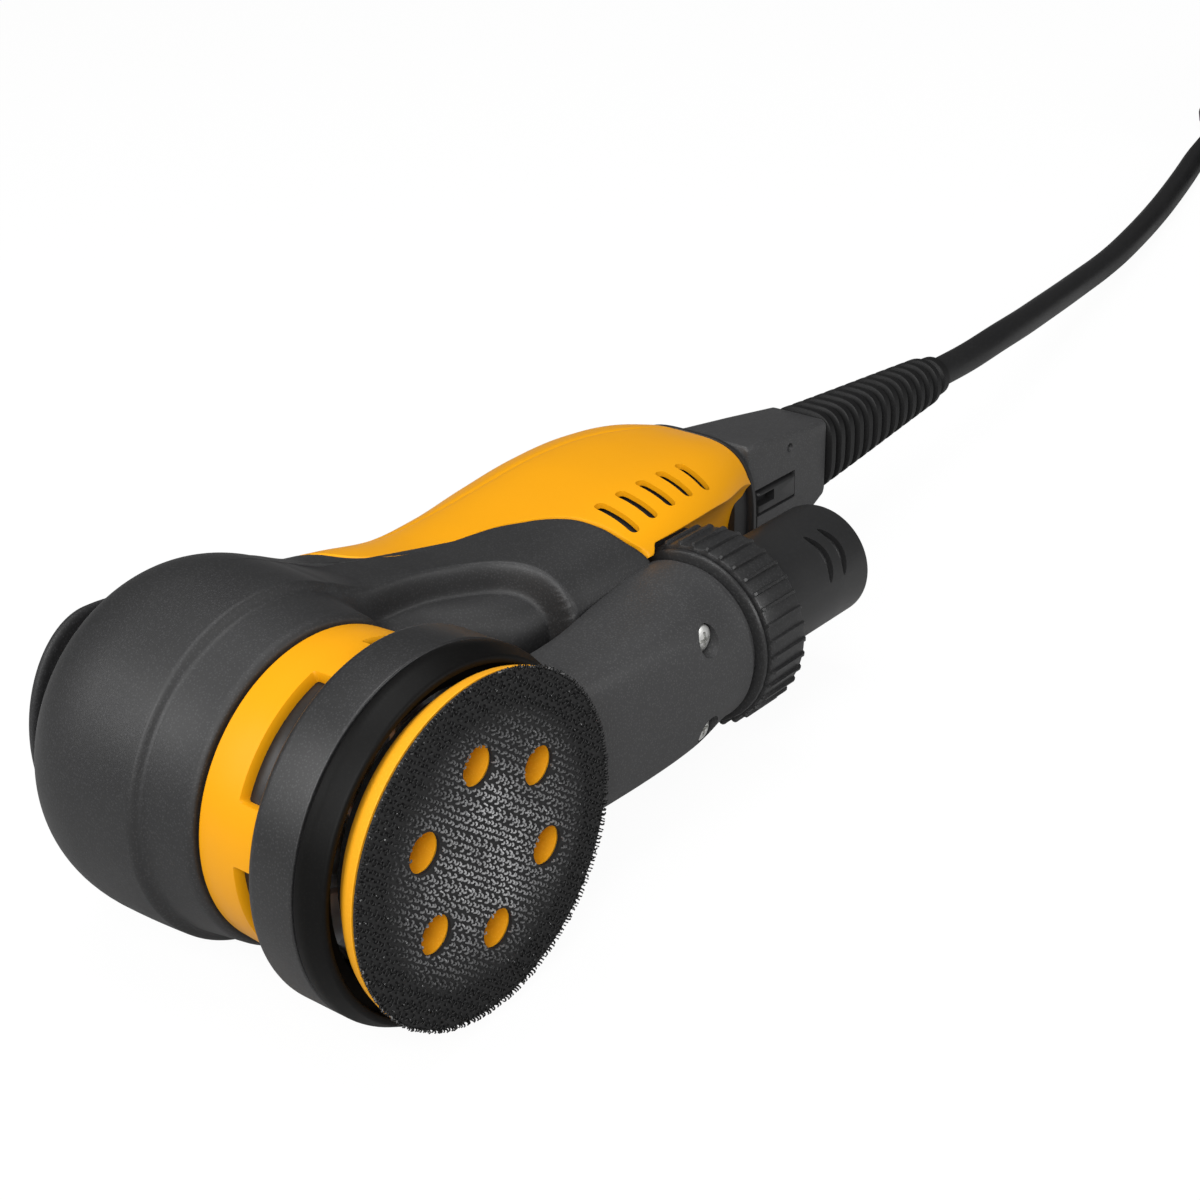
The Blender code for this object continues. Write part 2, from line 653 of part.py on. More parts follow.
def can_outer(margin):
    """Outer side of the motor can, top to bottom, grown by a margin."""
    neck = UPPER_BEARING_R + GAP + HUB_WALL + margin
    side = MOTOR_CAN_OUT + margin
    shoulder = MOTOR_CAN_TOP - UPPER_BEARING_T + margin
    return ((0.0, MOTOR_CAN_TOP + margin), (neck, MOTOR_CAN_TOP + margin), (neck, shoulder),
            (WINDING_OUT + margin, shoulder), (side, shoulder - HUB_WALL - margin),
            (side, RING_TOP + GAP))


def dome_profile():
    """Crown, rounded shoulder and the drawn-in lower edge of the head, top to bottom."""
    points = [(0.0, DOME_TOP)]
    shoulder_r = DOME_R - DOME_CROWN_R
    height = DOME_TOP - DOME_MID_Y
    for i in range(9):
        angle = math.pi / 2 * (1.0 - i / 8)
        points.append((DOME_CROWN_R + shoulder_r * math.cos(angle),
                       DOME_MID_Y + height * math.sin(angle)))
    edge_y = RING_TOP + 2 * GAP
    drop = DOME_MID_Y - edge_y
    for i in range(1, 4):
        share = i / 3
        points.append((DOME_R - (DOME_R - DOME_EDGE_R) * share ** 2, DOME_MID_Y - drop * share))
    points.append((0.0, edge_y))
    return points


def handle_stations(grow):
    stations = []
    for x, top, bottom, half in HANDLE_STATIONS:
        stations.append((x, top + grow, bottom - grow, half + grow, HANDLE_SQUARE))
    return stations


def shell_part(name, outline, cavity, material):
    """Slice of the handle's outer form inside an outline seen from the side, hollowed."""
    part = add_part(name, stations_mesh(name, handle_stations(0.0), HANDLE_SIDES), material)
    slab = add_cutter(name + "_slab", prism_mesh(name + "_slab", outline, SHROUD_R))
    boolean(part, slab, "INTERSECT")
    return boolean(part, cavity, "DIFFERENCE")


def build_housing():
    """Grip with its domed head, the yellow cover and shell, and everything cut from them."""
    inside = [station for station in handle_stations(-WALL) if station[0] > CAVITY_FRONT]
    inside.insert(0, (CAVITY_FRONT,) + inside[0][1:])
    inside.append((HANDLE_END + WALL,) + inside[-1][1:])
    cavity = add_cutter("handle_cavity", stations_mesh("handle_cavity", inside, HANDLE_SIDES))
    duct_space = add_cutter("duct_space", stations_mesh("duct_space", DUCT_STATIONS, DUCT_SIDES,
                                                        GAP, GAP))
    tail_space = add_cutter("tail_space", tail_rod("tail_space", CHANNEL_R, COLLAR_X - GAP,
                                                   HANDLE_END + WALL))
    head_bay = add_cutter("head_bay", turned_mesh("head_bay", (
        (0.0, RING_TOP + GAP), (RING_R + GAP, RING_TOP + GAP), (RING_R + GAP, BAND_TOP + GAP),
        (SHROUD_R + GAP, BAND_TOP + GAP), (SHROUD_R + GAP, -WALL), (0.0, -WALL))))

    far = COVER_EDGE[-1][0] + WALL
    high = DOME_TOP + LEVER_RISE
    grip_edge = offset_line(GRIP_EDGE, -GAP / 2)
    neck = add_cutter("grip_neck", stations_mesh("grip_neck", handle_stations(0.0), HANDLE_SIDES))
    outline = [(0.0, 0.0), (0.0, GRIP_EDGE[0][1])] + grip_edge
    slab = add_cutter("grip_slab", prism_mesh("grip_slab", outline, SHROUD_R))
    boolean(neck, slab, "INTERSECT")
    grip = turned("grip_shell", dome_profile(), SOFT_BLACK)
    boolean(grip, neck, "UNION")
    can_space = can_outer(GAP)[:-1] + ((MOTOR_CAN_OUT + GAP, 0.0), (0.0, 0.0))
    boolean(grip, add_cutter("can_space", turned_mesh("can_space", can_space)), "DIFFERENCE")
    for cutter in (cavity, duct_space, head_bay):
        boolean(grip, cutter, "DIFFERENCE")

    yellow_edge = offset_line(GRIP_EDGE, GAP / 2)
    cover_low = offset_line(COVER_EDGE, GAP / 2)
    shell_high = offset_line(COVER_EDGE, -GAP / 2)
    clear_dome = [(r + GAP if r else 0.0, y + (GAP if r < DOME_R else 0.0)) for r, y in dome_profile()]
    dome_space = add_cutter("dome_space", turned_mesh("dome_space", clear_dome))
    cover_front = [p for p in yellow_edge if p[1] > COVER_EDGE[0][1]]
    outline = cover_front + cover_low + [(far, cover_low[-1][1]), (far, high)]
    cover = shell_part("handle_cover", outline, cavity, YELLOW)
    boolean(cover, dome_space, "DIFFERENCE")
    shell_front = [p for p in yellow_edge if p[1] < COVER_EDGE[0][1]]
    outline = list(reversed(shell_high)) + shell_front + [(far, 0.0), (far, shell_high[-1][1])]
    shell = shell_part("handle_shell", outline, cavity, YELLOW)
    for side in (-1.0, 1.0):
        for i in range(VENTS):
            cut_vent(shell, i, side)
    boolean(shell, channel_wall(), "UNION")
    for cutter in (duct_space, tail_space, dome_space):
        boolean(shell, cutter, "DIFFERENCE")
    add_ears(cover)
    for name, x, radius in BUTTONS:
        cut_well(cover, name, x, radius)
    cut_well(cover, "status_light", LIGHT_X, LIGHT_R)
    return head_bay


def tail_rod(name, radius, start, end):
    return rod_mesh(name, radius, (start, TAIL_Y, 0.0), (end, TAIL_Y, 0.0), TAIL_STEPS)


def channel_wall():
    """Wall over the channel that the collar and spigot turn in, inside the handle's form."""
    wall = add_cutter("channel_wall", tail_rod("channel_wall", CHANNEL_R + WALL, COLLAR_X - WALL,
                                               HANDLE_END - GAP))
    form = add_cutter("channel_form", stations_mesh("channel_form", handle_stations(-GAP), HANDLE_SIDES))
    return boolean(wall, form, "INTERSECT")


def cut_vent(shell, index, side):
    name = "vent_" + str(index) + ("_left" if side > 0 else "_right")
    x = VENT_X + index * VENT_PITCH
    half = VENT_WIDTH / 2
    length = VENT_LENGTH / 2
    mesh = box_mesh(name, (-half, -length, WALL * 4), (half, length, SHROUD_R))
    mesh.transform(Matrix.Rotation(-VENT_LEAN, 4, "Z"))
    mesh.transform(Matrix.Translation((x, VENT_Y, 0.0)))
    if side < 0:
        mesh.transform(Matrix.Scale(-1.0, 4, (0.0, 0.0, 1.0)))
        mesh.flip_normals()
    boolean(shell, add_cutter(name, mesh), "DIFFERENCE")


def handle_top(x):
    stations = np.array(HANDLE_STATIONS)
    return float(np.interp(x, stations[:, 0], stations[:, 1]))


def add_ears(cover):
    """Two lugs on the cover that carry the lever's pin."""
    foot = handle_top(PIVOT_X) - EAR_SINK
    for side in (-1.0, 1.0):
        name = "ear_left" if side > 0 else "ear_right"
        z = sorted((side * EAR_IN, side * (EAR_IN + EAR_T)))
        outline = [(PIVOT_X - EAR_R, foot), (PIVOT_X + EAR_R, foot)]
        for i in range(9):
            angle = math.pi * i / 8
            outline.append((PIVOT_X + EAR_R * math.cos(angle), PIVOT_Y + EAR_R * math.sin(angle)))
        mesh = prism_mesh(name, outline, EAR_T / 2)
        mesh.transform(Matrix.Translation((0.0, 0.0, sum(z) / 2)))
        boolean(cover, add_cutter(name, mesh), "UNION")
    reach = EAR_IN + EAR_T + WALL
    bore = rod_mesh("pin_bore", PIN_R + GAP, (PIVOT_X, PIVOT_Y, -reach), (PIVOT_X, PIVOT_Y, reach),
                    PIN_STEPS)
    boolean(cover, add_cutter("pin_bore", bore), "DIFFERENCE")


def cut_well(cover, name, x, radius):
    mesh = rod_mesh(name + "_well", radius + GAP, (x, handle_top(x) - BUTTON_DEPTH - WALL, 0.0),
                    (x, handle_top(x) + WALL, 0.0), PART_STEPS)
    boolean(cover, add_cutter(name + "_well", mesh), "DIFFERENCE")


def build_buttons():
    for name, x, radius in BUTTONS:
        top = handle_top(x) + BUTTON_PROUD
        axis = axis_empty(name + "_axis", (x, top, 0.0))
        turned(name, ((0.0, 0.0), (radius - BUTTON_EDGE, 0.0), (radius, -BUTTON_EDGE),
                      (radius, -BUTTON_DEPTH), (0.0, -BUTTON_DEPTH)), BLACK, axis, PART_STEPS)
    top = handle_top(LIGHT_X)
    add_part("status_light", rod_mesh("status_light", LIGHT_R, (LIGHT_X, top - WALL * 2, 0.0),
                                      (LIGHT_X, top, 0.0), HOLE_STEPS), CLEAR_GREEN)


def build_lever():
    """Palm lever: an oval over the head with a tongue back to its knuckle, pin and spring."""
    axis = axis_empty("lever_axis", (PIVOT_X, PIVOT_Y, 0.0))
    side = [(PIVOT_X, LEVER_TONGUE_END)]
    for i in range(LEVER_STEPS):
        angle = math.pi / 2 * i / LEVER_STEPS
        side.append((LEVER_CENTRE_X + LEVER_BACK * math.cos(angle),
                     LEVER_TONGUE + (LEVER_HALF - LEVER_TONGUE) * math.sin(angle)))
    for i in range(LEVER_STEPS):
        angle = math.pi / 2 * i / LEVER_STEPS
        side.append((LEVER_CENTRE_X - LEVER_FRONT * math.sin(angle), LEVER_HALF * math.cos(angle)))
    front = [(LEVER_CENTRE_X - LEVER_FRONT, 0.0)]
    outline = side + front + [(x, -z) for x, z in reversed(side)]
    plate = prism_mesh("lever", outline, LEVER_T / 2, "Y")
    plate.transform(Matrix.Translation((-PIVOT_X, LEVER_Y + LEVER_T / 2 - PIVOT_Y, 0.0)))
    lever = add_part("lever", plate, BLACK, axis)

    def cross_rod(name, radius, half):
        return rod_mesh(name, radius, (PIVOT_X, PIVOT_Y, -half), (PIVOT_X, PIVOT_Y, half), PIN_STEPS)

    knuckle = cross_rod("lever_knuckle", KNUCKLE_R, KNUCKLE_HALF)
    boolean(lever, add_cutter("lever_knuckle", knuckle), "UNION")
    bore = cross_rod("lever_bore", PIN_R + GAP, KNUCKLE_HALF + WALL)
    boolean(lever, add_cutter("lever_bore", bore), "DIFFERENCE")
    add_part("lever_pin", cross_rod("lever_pin", PIN_R, EAR_IN + EAR_T + GAP), STEEL)
    build_spring()


def build_spring():
    """Torsion spring wound round the pin, between the knuckle and the left lug."""
    room = EAR_IN - KNUCKLE_HALF - 2 * (GAP + SPRING_WIRE)
    count = SPRING_TURNS * SPRING_POINTS
    share = np.arange(count + 1) / count
    angle = share * SPRING_TURNS * 2.0 * math.pi
    path = np.stack((PIVOT_X + SPRING_R * np.cos(angle), PIVOT_Y + SPRING_R * np.sin(angle),
                     KNUCKLE_HALF + GAP + SPRING_WIRE + room * share), axis=1)
    tube_part("lever_spring", path, SPRING_WIRE, 1, STEEL, MACHINE)
    print("lever_spring least gap", round(room / SPRING_TURNS - 2 * SPRING_WIRE, 5))


def tube_part(name, path, radius, resolution, material, parent):
    """Tube of one unbroken run along a path, with closed ends."""
    curve = bpy.data.curves.new(name, "CURVE")
    curve.dimensions = "3D"
    curve.bevel_depth = radius
    curve.bevel_resolution = resolution
    curve.use_fill_caps = True
    spline = curve.splines.new("POLY")
    spline.points.add(len(path) - 1)
    for point, place in zip(spline.points, path):
        point.co = (*map(float, place), 1.0)
    source = bpy.data.objects.new(name, curve)
    CUTTERS.objects.link(source)
    return add_part(name, baked(source, name), material, parent)


def build_tail(head_bay):
    """Dust duct with its two screws, then the collar and the spigot that turn on it."""
    duct = add_part("dust_duct", stations_mesh("dust_duct", DUCT_STATIONS, DUCT_SIDES), BLACK)
    bore = stations_mesh("duct_bore", DUCT_STATIONS, DUCT_SIDES, -WALL, WALL)
    boolean(duct, add_cutter("duct_bore", bore), "DIFFERENCE")
    boolean(duct, head_bay, "DIFFERENCE")
    form = add_cutter("duct_form", stations_mesh("duct_form", DUCT_STATIONS, DUCT_SIDES, -GAP))
    for side, name in ((1.0, "duct_screw_left"), (-1.0, "duct_screw_right")):
        build_screw(duct, form, side, name)
    axis = axis_empty("tail_axis", (COLLAR_X, TAIL_Y, 0.0))
    collar = turned_along_x("collar_nut", ring_profile(SPIGOT_R + GAP, COLLAR_R, 0.0, COLLAR_LENGTH),
                            BLACK, axis)
    ribs = radial_boxes_mesh("collar_ribs", COLLAR_RIBS, COLLAR_R - WALL, COLLAR_R + COLLAR_RIB_H,
                             WALL / 2, COLLAR_LENGTH - WALL / 3, COLLAR_RIB_W)
    ribs.transform(Matrix.Rotation(-math.pi / 2, 4, "Z"))
    ribs.transform(Matrix.Translation((COLLAR_X, TAIL_Y, 0.0)))
    boolean(collar, add_cutter("collar_ribs", ribs), "UNION")
    flange_r = (NECK_R - WALL) * math.cos(math.pi / DUCT_SIDES) - GAP
    flange_low = -GAP - SPIGOT_FLANGE_T
    end = SPIGOT_END - COLLAR_X
    turned_along_x("dust_spigot", ((SPIGOT_R, end), (SPIGOT_R, -GAP), (flange_r, -GAP),
                                   (flange_r, flange_low), (SPIGOT_R - SPIGOT_T, flange_low),
                                   (SPIGOT_R - SPIGOT_T, end)), BLACK, axis)


def turned_along_x(name, profile, material, parent):
    """Turned piece whose height runs along X from its parent's place."""
    mesh = turned_mesh(name, profile)
    mesh.transform(Matrix.Rotation(-math.pi / 2, 4, "Z"))
    return add_part(name, mesh, material, parent)


def build_screw(duct, form, side, name):
    """Cross-head screw sunk in a post of the duct, driven from the pad's side."""
    z = side * SCREW_Z

    def rod(suffix, radius, low, high, steps=PIN_STEPS):
        return rod_mesh(name + suffix, radius, (SCREW_X, low, z), (SCREW_X, high, z), steps)

    tip = SCREW_SEAT_Y + SCREW_SHANK
    post = add_cutter(name + "_post", rod("_post", BOSS_R, 0.0, tip + WALL, PART_STEPS))
    boolean(duct, boolean(post, form, "INTERSECT"), "UNION")
    recess = rod("_recess", SCREW_HEAD_R + GAP, -WALL, SCREW_SEAT_Y, PART_STEPS)
    boolean(duct, add_cutter(name + "_recess", recess), "DIFFERENCE")
    pilot = rod("_pilot", SCREW_SHANK_R + GAP, SCREW_SEAT_Y - GAP, tip + GAP)
    boolean(duct, add_cutter(name + "_pilot", pilot), "DIFFERENCE")
    top = SCREW_SEAT_Y - GAP - SCREW_HEAD_T
    screw = add_part(name, rod("", SCREW_HEAD_R, top, SCREW_SEAT_Y - GAP, PART_STEPS), STEEL)
    shank = rod("_shank", SCREW_SHANK_R, SCREW_SEAT_Y - GAP - SCREW_SLOT / 2, tip)
    boolean(screw, add_cutter(name + "_shank", shank), "UNION")
    arms = ((SCREW_SLOT_HALF, SCREW_SLOT / 2), (SCREW_SLOT / 2, SCREW_SLOT_HALF))
    for i, (half_x, half_z) in enumerate(arms):
        slot = box_mesh(name + "_slot" + str(i), (SCREW_X - half_x, top - WALL, z - half_z),
                        (SCREW_X + half_x, top + SCREW_SLOT, z + half_z))
        boolean(screw, add_cutter(name + "_slot" + str(i), slot), "DIFFERENCE")


def build_electronics():
    """Control board across the handle with a filter capacitor standing on it."""
    stations = np.array(HANDLE_STATIONS)
    half = float(np.interp(BOARD_X[1], stations[:, 0], stations[:, 3])) - WALL - BOARD_SIDE_GAP
    add_part("control_board", box_mesh("control_board", (BOARD_X[0], BOARD_Y, -half),
                                       (BOARD_X[1], BOARD_Y + BOARD_T, half)), BOARD)
    x = (BOARD_X[0] + BOARD_X[1]) / 2
    low = BOARD_Y + BOARD_T + GAP
    add_part("filter_capacitor", rod_mesh("filter_capacitor", CAPACITOR_R, (x, low, 0.0),
                                          (x, low + CAPACITOR_H, 0.0), PART_STEPS), ALUMINIUM)


def build_mains_inlet():
    """Inlet frame on the handle's end, the connector with its latch, and the strain relief."""
    _, top, bottom, half = HANDLE_STATIONS[-1]
    frame = (top, bottom, half, HANDLE_SQUARE, HANDLE_SIDES)
    add_part("inlet_frame", loft_mesh("inlet_frame", [rounded_section(INLET_X, *frame),
                                                      rounded_section(INLET_X + INLET_T, *frame)]), BLACK)
    sections = []
    for x, high, low, wide, aside in CONNECTOR_STATIONS:
        section = rounded_section(CONNECTOR_X + x, high, low, wide, CONNECTOR_SQUARE, HANDLE_SIDES)
        sections.append([(a, b, c + aside) for a, b, c in section])
    body = add_part("connector_body", loft_mesh("connector_body", sections), BLACK)
    face = CONNECTOR_STATIONS[1][2]
    x = CONNECTOR_X + LATCH_X
    pocket = box_mesh("latch_pocket", (x - GAP, face - WALL, LATCH_Z - LATCH_HALF - GAP),
                      (x + LATCH_LENGTH + GAP, face + LATCH_DEPTH + LATCH_TRAVEL + GAP,
                       LATCH_Z + LATCH_HALF + GAP))
    boolean(body, add_cutter("latch_pocket", pocket), "DIFFERENCE")
    axis = axis_empty("latch_axis", (x + LATCH_LENGTH / 2, face, LATCH_Z))
    latch = box_mesh("connector_latch", (-LATCH_LENGTH / 2, -LATCH_PROUD, -LATCH_HALF),
                     (LATCH_LENGTH / 2, LATCH_DEPTH, LATCH_HALF))
    add_part("connector_latch", latch, BLACK, axis)
    build_relief()


def relief_centre(share):
    """Point on the sleeve's axis, which rises gently and ends level, in the machine's axes."""
    y, z = RELIEF_START
    rise = share * share * (3.0 - 2.0 * share)
    return (CONNECTOR_END + GAP + RELIEF_LENGTH * share, y, z + RELIEF_RISE * rise)


def build_relief():
    """Tapered ribbed sleeve, squarish at the connector and round at the cord."""
    sections = []
    steps = RELIEF_RIBS * 2
    for i in range(steps + 1):
        share = i / steps
        x, y, z = relief_centre(share)
        rib = RELIEF_RIB_H if i % 2 == 0 and i < steps else 0.0
        half_y = RELIEF_HALF[0] + (RELIEF_END_R - RELIEF_HALF[0]) * share + rib
        half_z = RELIEF_HALF[1] + (RELIEF_END_R - RELIEF_HALF[1]) * share + rib
        square = RELIEF_SQUARE[0] + (RELIEF_SQUARE[1] - RELIEF_SQUARE[0]) * share
        section = rounded_section(x, y + half_y, y - half_y, half_z, square, RELIEF_SIDES)
        sections.append([(a, b, c + z) for a, b, c in section])
    add_part("strain_relief", loft_mesh("strain_relief", sections), RUBBER)


def smooth_route(points, spacing):
    """Catmull-Rom curve through the points, read at an even spacing."""
    path = np.array(points)
    ends = np.vstack((2 * path[0] - path[1], path, 2 * path[-1] - path[-2]))
    t = np.linspace(0.0, 1.0, ROUTE_STEPS, endpoint=False)[:, None]
    pieces = []
    for a, b, c, d in zip(ends, ends[1:], ends[2:], ends[3:]):
        pieces.append(0.5 * (2 * b + (c - a) * t + (2 * a - 5 * b + 4 * c - d) * t ** 2
                             + (3 * b - a - 3 * c + d) * t ** 3))
    fine = np.vstack(pieces + [path[-1:]])
    along = np.concatenate(([0.0], np.cumsum(np.linalg.norm(np.diff(fine, axis=0), axis=1))))
    count = max(2, int(round(along[-1] / spacing)))
    marks = np.linspace(0.0, along[-1], count + 1)
    return np.stack([np.interp(marks, along, fine[:, k]) for k in range(3)], axis=1)


def coil_path():
    """Loops that spiral in and out layer by layer, clockwise from the far side of the coil.

    The radius runs between its limits at a steady rate and the height climbs one layer in the
    half turn about each reversal.
    """
    count = int(COIL_TURNS * LOOP_POINTS)
    turns = np.arange(count + 1) / LOOP_POINTS
    per_layer = COIL_TURNS / COIL_LAYERS
    span = per_layer * COIL_STEP
    phase = turns / per_layer
    wave = np.abs((phase % 2.0) - 1.0)
    radius = COIL_MEAN_R + span * (wave - 0.5)
    layer = np.zeros_like(turns)
    for k in range(1, COIL_LAYERS):
        rise = np.clip((turns - k * per_layer) / COIL_RISE_TURNS + 0.5, 0.0, 1.0)
        layer += rise * rise * (3.0 - 2.0 * rise)
    angle = math.pi / 2 - turns * 2.0 * math.pi
    height = COIL_LIFT + CORD_D / 2 + layer * COIL_STEP
    path = np.stack((COIL_CENTRE[0] + radius * np.cos(angle), COIL_CENTRE[1] + radius * np.sin(angle),
                     height), axis=1)
    first = path[0] + straight(path[0] - path[1])
    last = path[-1] + straight(path[-1] - path[-2])
    return np.vstack((first, path, last))


def straight(run):
    """One cord diameter along a run, kept level."""
    level = np.array((run[0], run[1], 0.0))
    return level / np.linalg.norm(level) * CORD_D


def self_gap(path):
    """Least clear distance between lengths of the cord that are half a loop or more apart."""
    far = LOOP_POINTS // 2
    best = math.inf
    for i in range(len(path) - far):
        best = min(best, float(np.linalg.norm(path[i + far:] - path[i], axis=1).min()))
    return best - CORD_D


def machine_point(local):
    return MACHINE.matrix_world @ Vector(local)


def build_lead():
    """Lead from the strain relief along the floor, its tied coil, and the plug beside it."""
    loops = coil_path()
    gap = self_gap(loops)
    print("cord_coil least gap", round(gap, 5), "wanted over", LEAST_SELF_GAP)
    tube_part("cord_coil", loops, CORD_D / 2, 1, RUBBER, None)
    exit_point = np.array(machine_point(relief_centre(1.0)))
    run = np.array(MACHINE.matrix_world.to_3x3() @ Vector((1.0, 0.0, 0.0)))
    into = loops[0] - loops[1]
    into /= np.linalg.norm(into)
    route = [exit_point + run * GAP, exit_point + run * CORD_D * 2, *map(np.array, CORD_ROUTE),
             loops[0] + into * ROUTE_LEAD_IN, loops[0] + into * GAP]
    lead = smooth_route(route, ROUTE_SPACING)
    tube_part("cord_lead", lead, CORD_D / 2, 3, RUBBER, None)
    out = loops[-1] - loops[-2]
    out /= np.linalg.norm(out)
    tail = [loops[-1] + out * GAP, loops[-1] + out * ROUTE_LEAD_IN, *map(np.array, TAIL_ROUTE)]
    tail_path = smooth_route(tail, ROUTE_SPACING)
    tube_part("cord_tail", tail_path, CORD_D / 2, 3, RUBBER, None)
    build_plug(tail_path)
    build_tie()
    runs = [np.linalg.norm(np.diff(path, axis=0), axis=1) for path in (lead, loops, tail_path)]
    length = float(np.concatenate(runs).sum())
    print("cord length", round(length, 3), "exit", [round(float(v), 4) for v in exit_point])


def build_plug(tail_path):
    """Round two-pin plug lying on the floor, its neck on the end of the lead."""
    run = tail_path[-1] - tail_path[-2]
    heading = math.atan2(run[1], run[0])
    form = [(PLUG_R * wide, PLUG_NECK + PLUG_LENGTH * along) for wide, along in PLUG_FORM]
    profile = [(0.0, PLUG_NECK + PLUG_LENGTH), *form, (PLUG_NECK_R, PLUG_NECK), (PLUG_NECK_END_R, 0.0),
               (0.0, 0.0)]
    mesh = turned_mesh("mains_plug", profile, PART_STEPS)
    turn = Matrix.Rotation(heading - math.pi / 2, 4, "Z")
    place = Matrix.Translation(tail_path[-1] + run / np.linalg.norm(run) * GAP)
    mesh.transform(turn)
    mesh.transform(place)
    plug = add_part("mains_plug", mesh, BLACK, None)
    face = PLUG_NECK + PLUG_LENGTH
    for i, side in enumerate((-1.0, 1.0)):
        x = side * PLUG_PIN_PITCH / 2
        pin = rod_mesh("plug_pin" + str(i), PLUG_PIN_R, (x, face - WALL, 0.0),
                       (x, face + PIN_LENGTH, 0.0), PLUG_PIN_STEPS)
        pin.transform(turn)
        pin.transform(place)
        cutter = add_cutter("plug_pin" + str(i), pin)
        cutter.parent = None
        boolean(plug, cutter, "UNION")


def build_tie():
    """Strap round the coil's bundle at its near side."""
    span = COIL_TURNS / COIL_LAYERS * COIL_STEP
    reach = span / 2 + CORD_D / 2 + GAP
    top = COIL_LIFT + CORD_D + (COIL_LAYERS - 1) * COIL_STEP + GAP
    low = COIL_LIFT - GAP
    centre_x = COIL_CENTRE[0] + COIL_MEAN_R
    y = COIL_CENTRE[1]
    half = TIE_WIDTH / 2
    tie = add_part("coil_tie", box_mesh("coil_tie", (centre_x - reach - TIE_T, y - half, low - TIE_T),
                                        (centre_x + reach + TIE_T, y + half, top + TIE_T)), RUBBER, None)
    hole = add_cutter("tie_hole", box_mesh("tie_hole", (centre_x - reach, y - half - WALL, low),
                                           (centre_x + reach, y + half + WALL, top)))
    hole.parent = None
    boolean(tie, hole, "DIFFERENCE")


def stand_on_floor():
    """Lay the machine so that its box, lead left out, is centred over the origin on the floor."""
    bpy.context.view_layer.update()
    depsgraph = bpy.context.evaluated_depsgraph_get()
    low = np.full(3, np.inf)
    high = -low
    for obj in PARTS.objects:
        if obj.type == "MESH":
            mesh = obj.evaluated_get(depsgraph).to_mesh()
            corners = np.array([obj.matrix_world @ vertex.co for vertex in mesh.vertices])
            low = np.minimum(low, corners.min(axis=0))
            high = np.maximum(high, corners.max(axis=0))
    centre = (low + high) / 2
    MACHINE.location = (-centre[0], -centre[1], -low[2])
    bpy.context.view_layer.update()
    print("machine size", np.round(high - low, 5).tolist())
    print("machine place", [round(v, 6) for v in MACHINE.location])


def build():
    spindle_axis = axis_empty("spindle_axis", (0.0, 0.0, 0.0))
    pad_axis = axis_empty("pad_axis", (ORBIT_OFFSET, 0.0, 0.0), spindle_axis)
    build_pad(pad_axis)
    build_spindle(spindle_axis)
    build_shroud()
    build_motor()
    head_bay = build_housing()
    build_lever()
    build_buttons()
    build_tail(head_bay)
    build_electronics()
    build_mains_inlet()
    stand_on_floor()
    build_lead()
    for empty in PARTS.objects:
        if empty.type == "EMPTY":
            print("axis", empty.name, [round(v, 6) for v in empty.matrix_world.translation])
    for name, direction in (("X", (1, 0, 0)), ("Y", (0, 1, 0)), ("Z", (0, 0, 1))):
        turned_to = MACHINE.matrix_world.to_3x3() @ Vector(direction)
        print("direction", name, [round(v, 6) for v in turned_to])


build()
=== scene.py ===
"""Compact random orbital sander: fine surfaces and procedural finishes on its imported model.

Surface formulas are in millimetres in the machine's own axes: x runs back along the handle, y up
the motor axis from the pad face, z to the machine's left.  The lead's route is in world metres,
as in the part's source.
"""
import json

import bmesh
import bpy
import numpy as np
from bpy.props import FloatProperty, FloatVectorProperty, IntProperty, PointerProperty
from mathutils import Matrix, Vector


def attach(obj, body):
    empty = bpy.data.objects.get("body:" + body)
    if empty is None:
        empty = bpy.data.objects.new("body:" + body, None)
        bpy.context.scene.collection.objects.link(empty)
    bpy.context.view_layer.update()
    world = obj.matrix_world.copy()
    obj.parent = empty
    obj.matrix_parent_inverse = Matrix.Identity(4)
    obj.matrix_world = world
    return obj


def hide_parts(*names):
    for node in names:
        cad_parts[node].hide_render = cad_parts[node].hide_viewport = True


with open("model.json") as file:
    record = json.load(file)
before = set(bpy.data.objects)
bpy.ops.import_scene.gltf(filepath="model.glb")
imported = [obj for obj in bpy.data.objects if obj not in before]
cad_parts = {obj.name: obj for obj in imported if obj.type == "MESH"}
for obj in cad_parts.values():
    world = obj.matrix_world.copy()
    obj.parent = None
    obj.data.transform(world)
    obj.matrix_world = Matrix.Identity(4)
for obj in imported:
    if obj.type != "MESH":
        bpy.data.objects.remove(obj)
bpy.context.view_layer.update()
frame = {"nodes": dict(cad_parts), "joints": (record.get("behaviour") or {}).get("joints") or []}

bl_info = {
    "name": "Random Orbital Sander Looks",
    "version": (1, 0, 0),
    "blender": (4, 5, 0),
    "location": "View3D > Sidebar > Sander",
    "description": "Surfaces, finishes, lead and stage of a compact random orbital sander",
    "category": "Object",
}

MM = 0.001
TURN = 2.0 * np.pi
JOINTS = {joint["name"]: joint for joint in frame["joints"]}
PLACE = np.array(JOINTS["spindle_spin"]["pos_m"], float)
AXIS_X = np.array(JOINTS["collar_turn"]["axis"], float)
AXIS_Y = np.array((0.0, 1.0, 0.0))
AXES = np.stack((AXIS_X, AXIS_Y, np.cross(AXIS_X, AXIS_Y)))

# Sanding pad and shroud
PAD_X = 1.25
PAD_R = 38.5
HOLE_R = 4.4
HOLE_CIRCLE = 20.2
HOLE_TURN = np.radians(36.0)
HOLES = 6
SHROUD_R = 41.2
SHROUD_T = 2.8
SEAM_Y = 13.4
BAND_TOP = 27.2
RING_R = 35.6
RING_TOP = 46.0
WINDOWS = 5
WINDOW_TURN = np.radians(131.0)

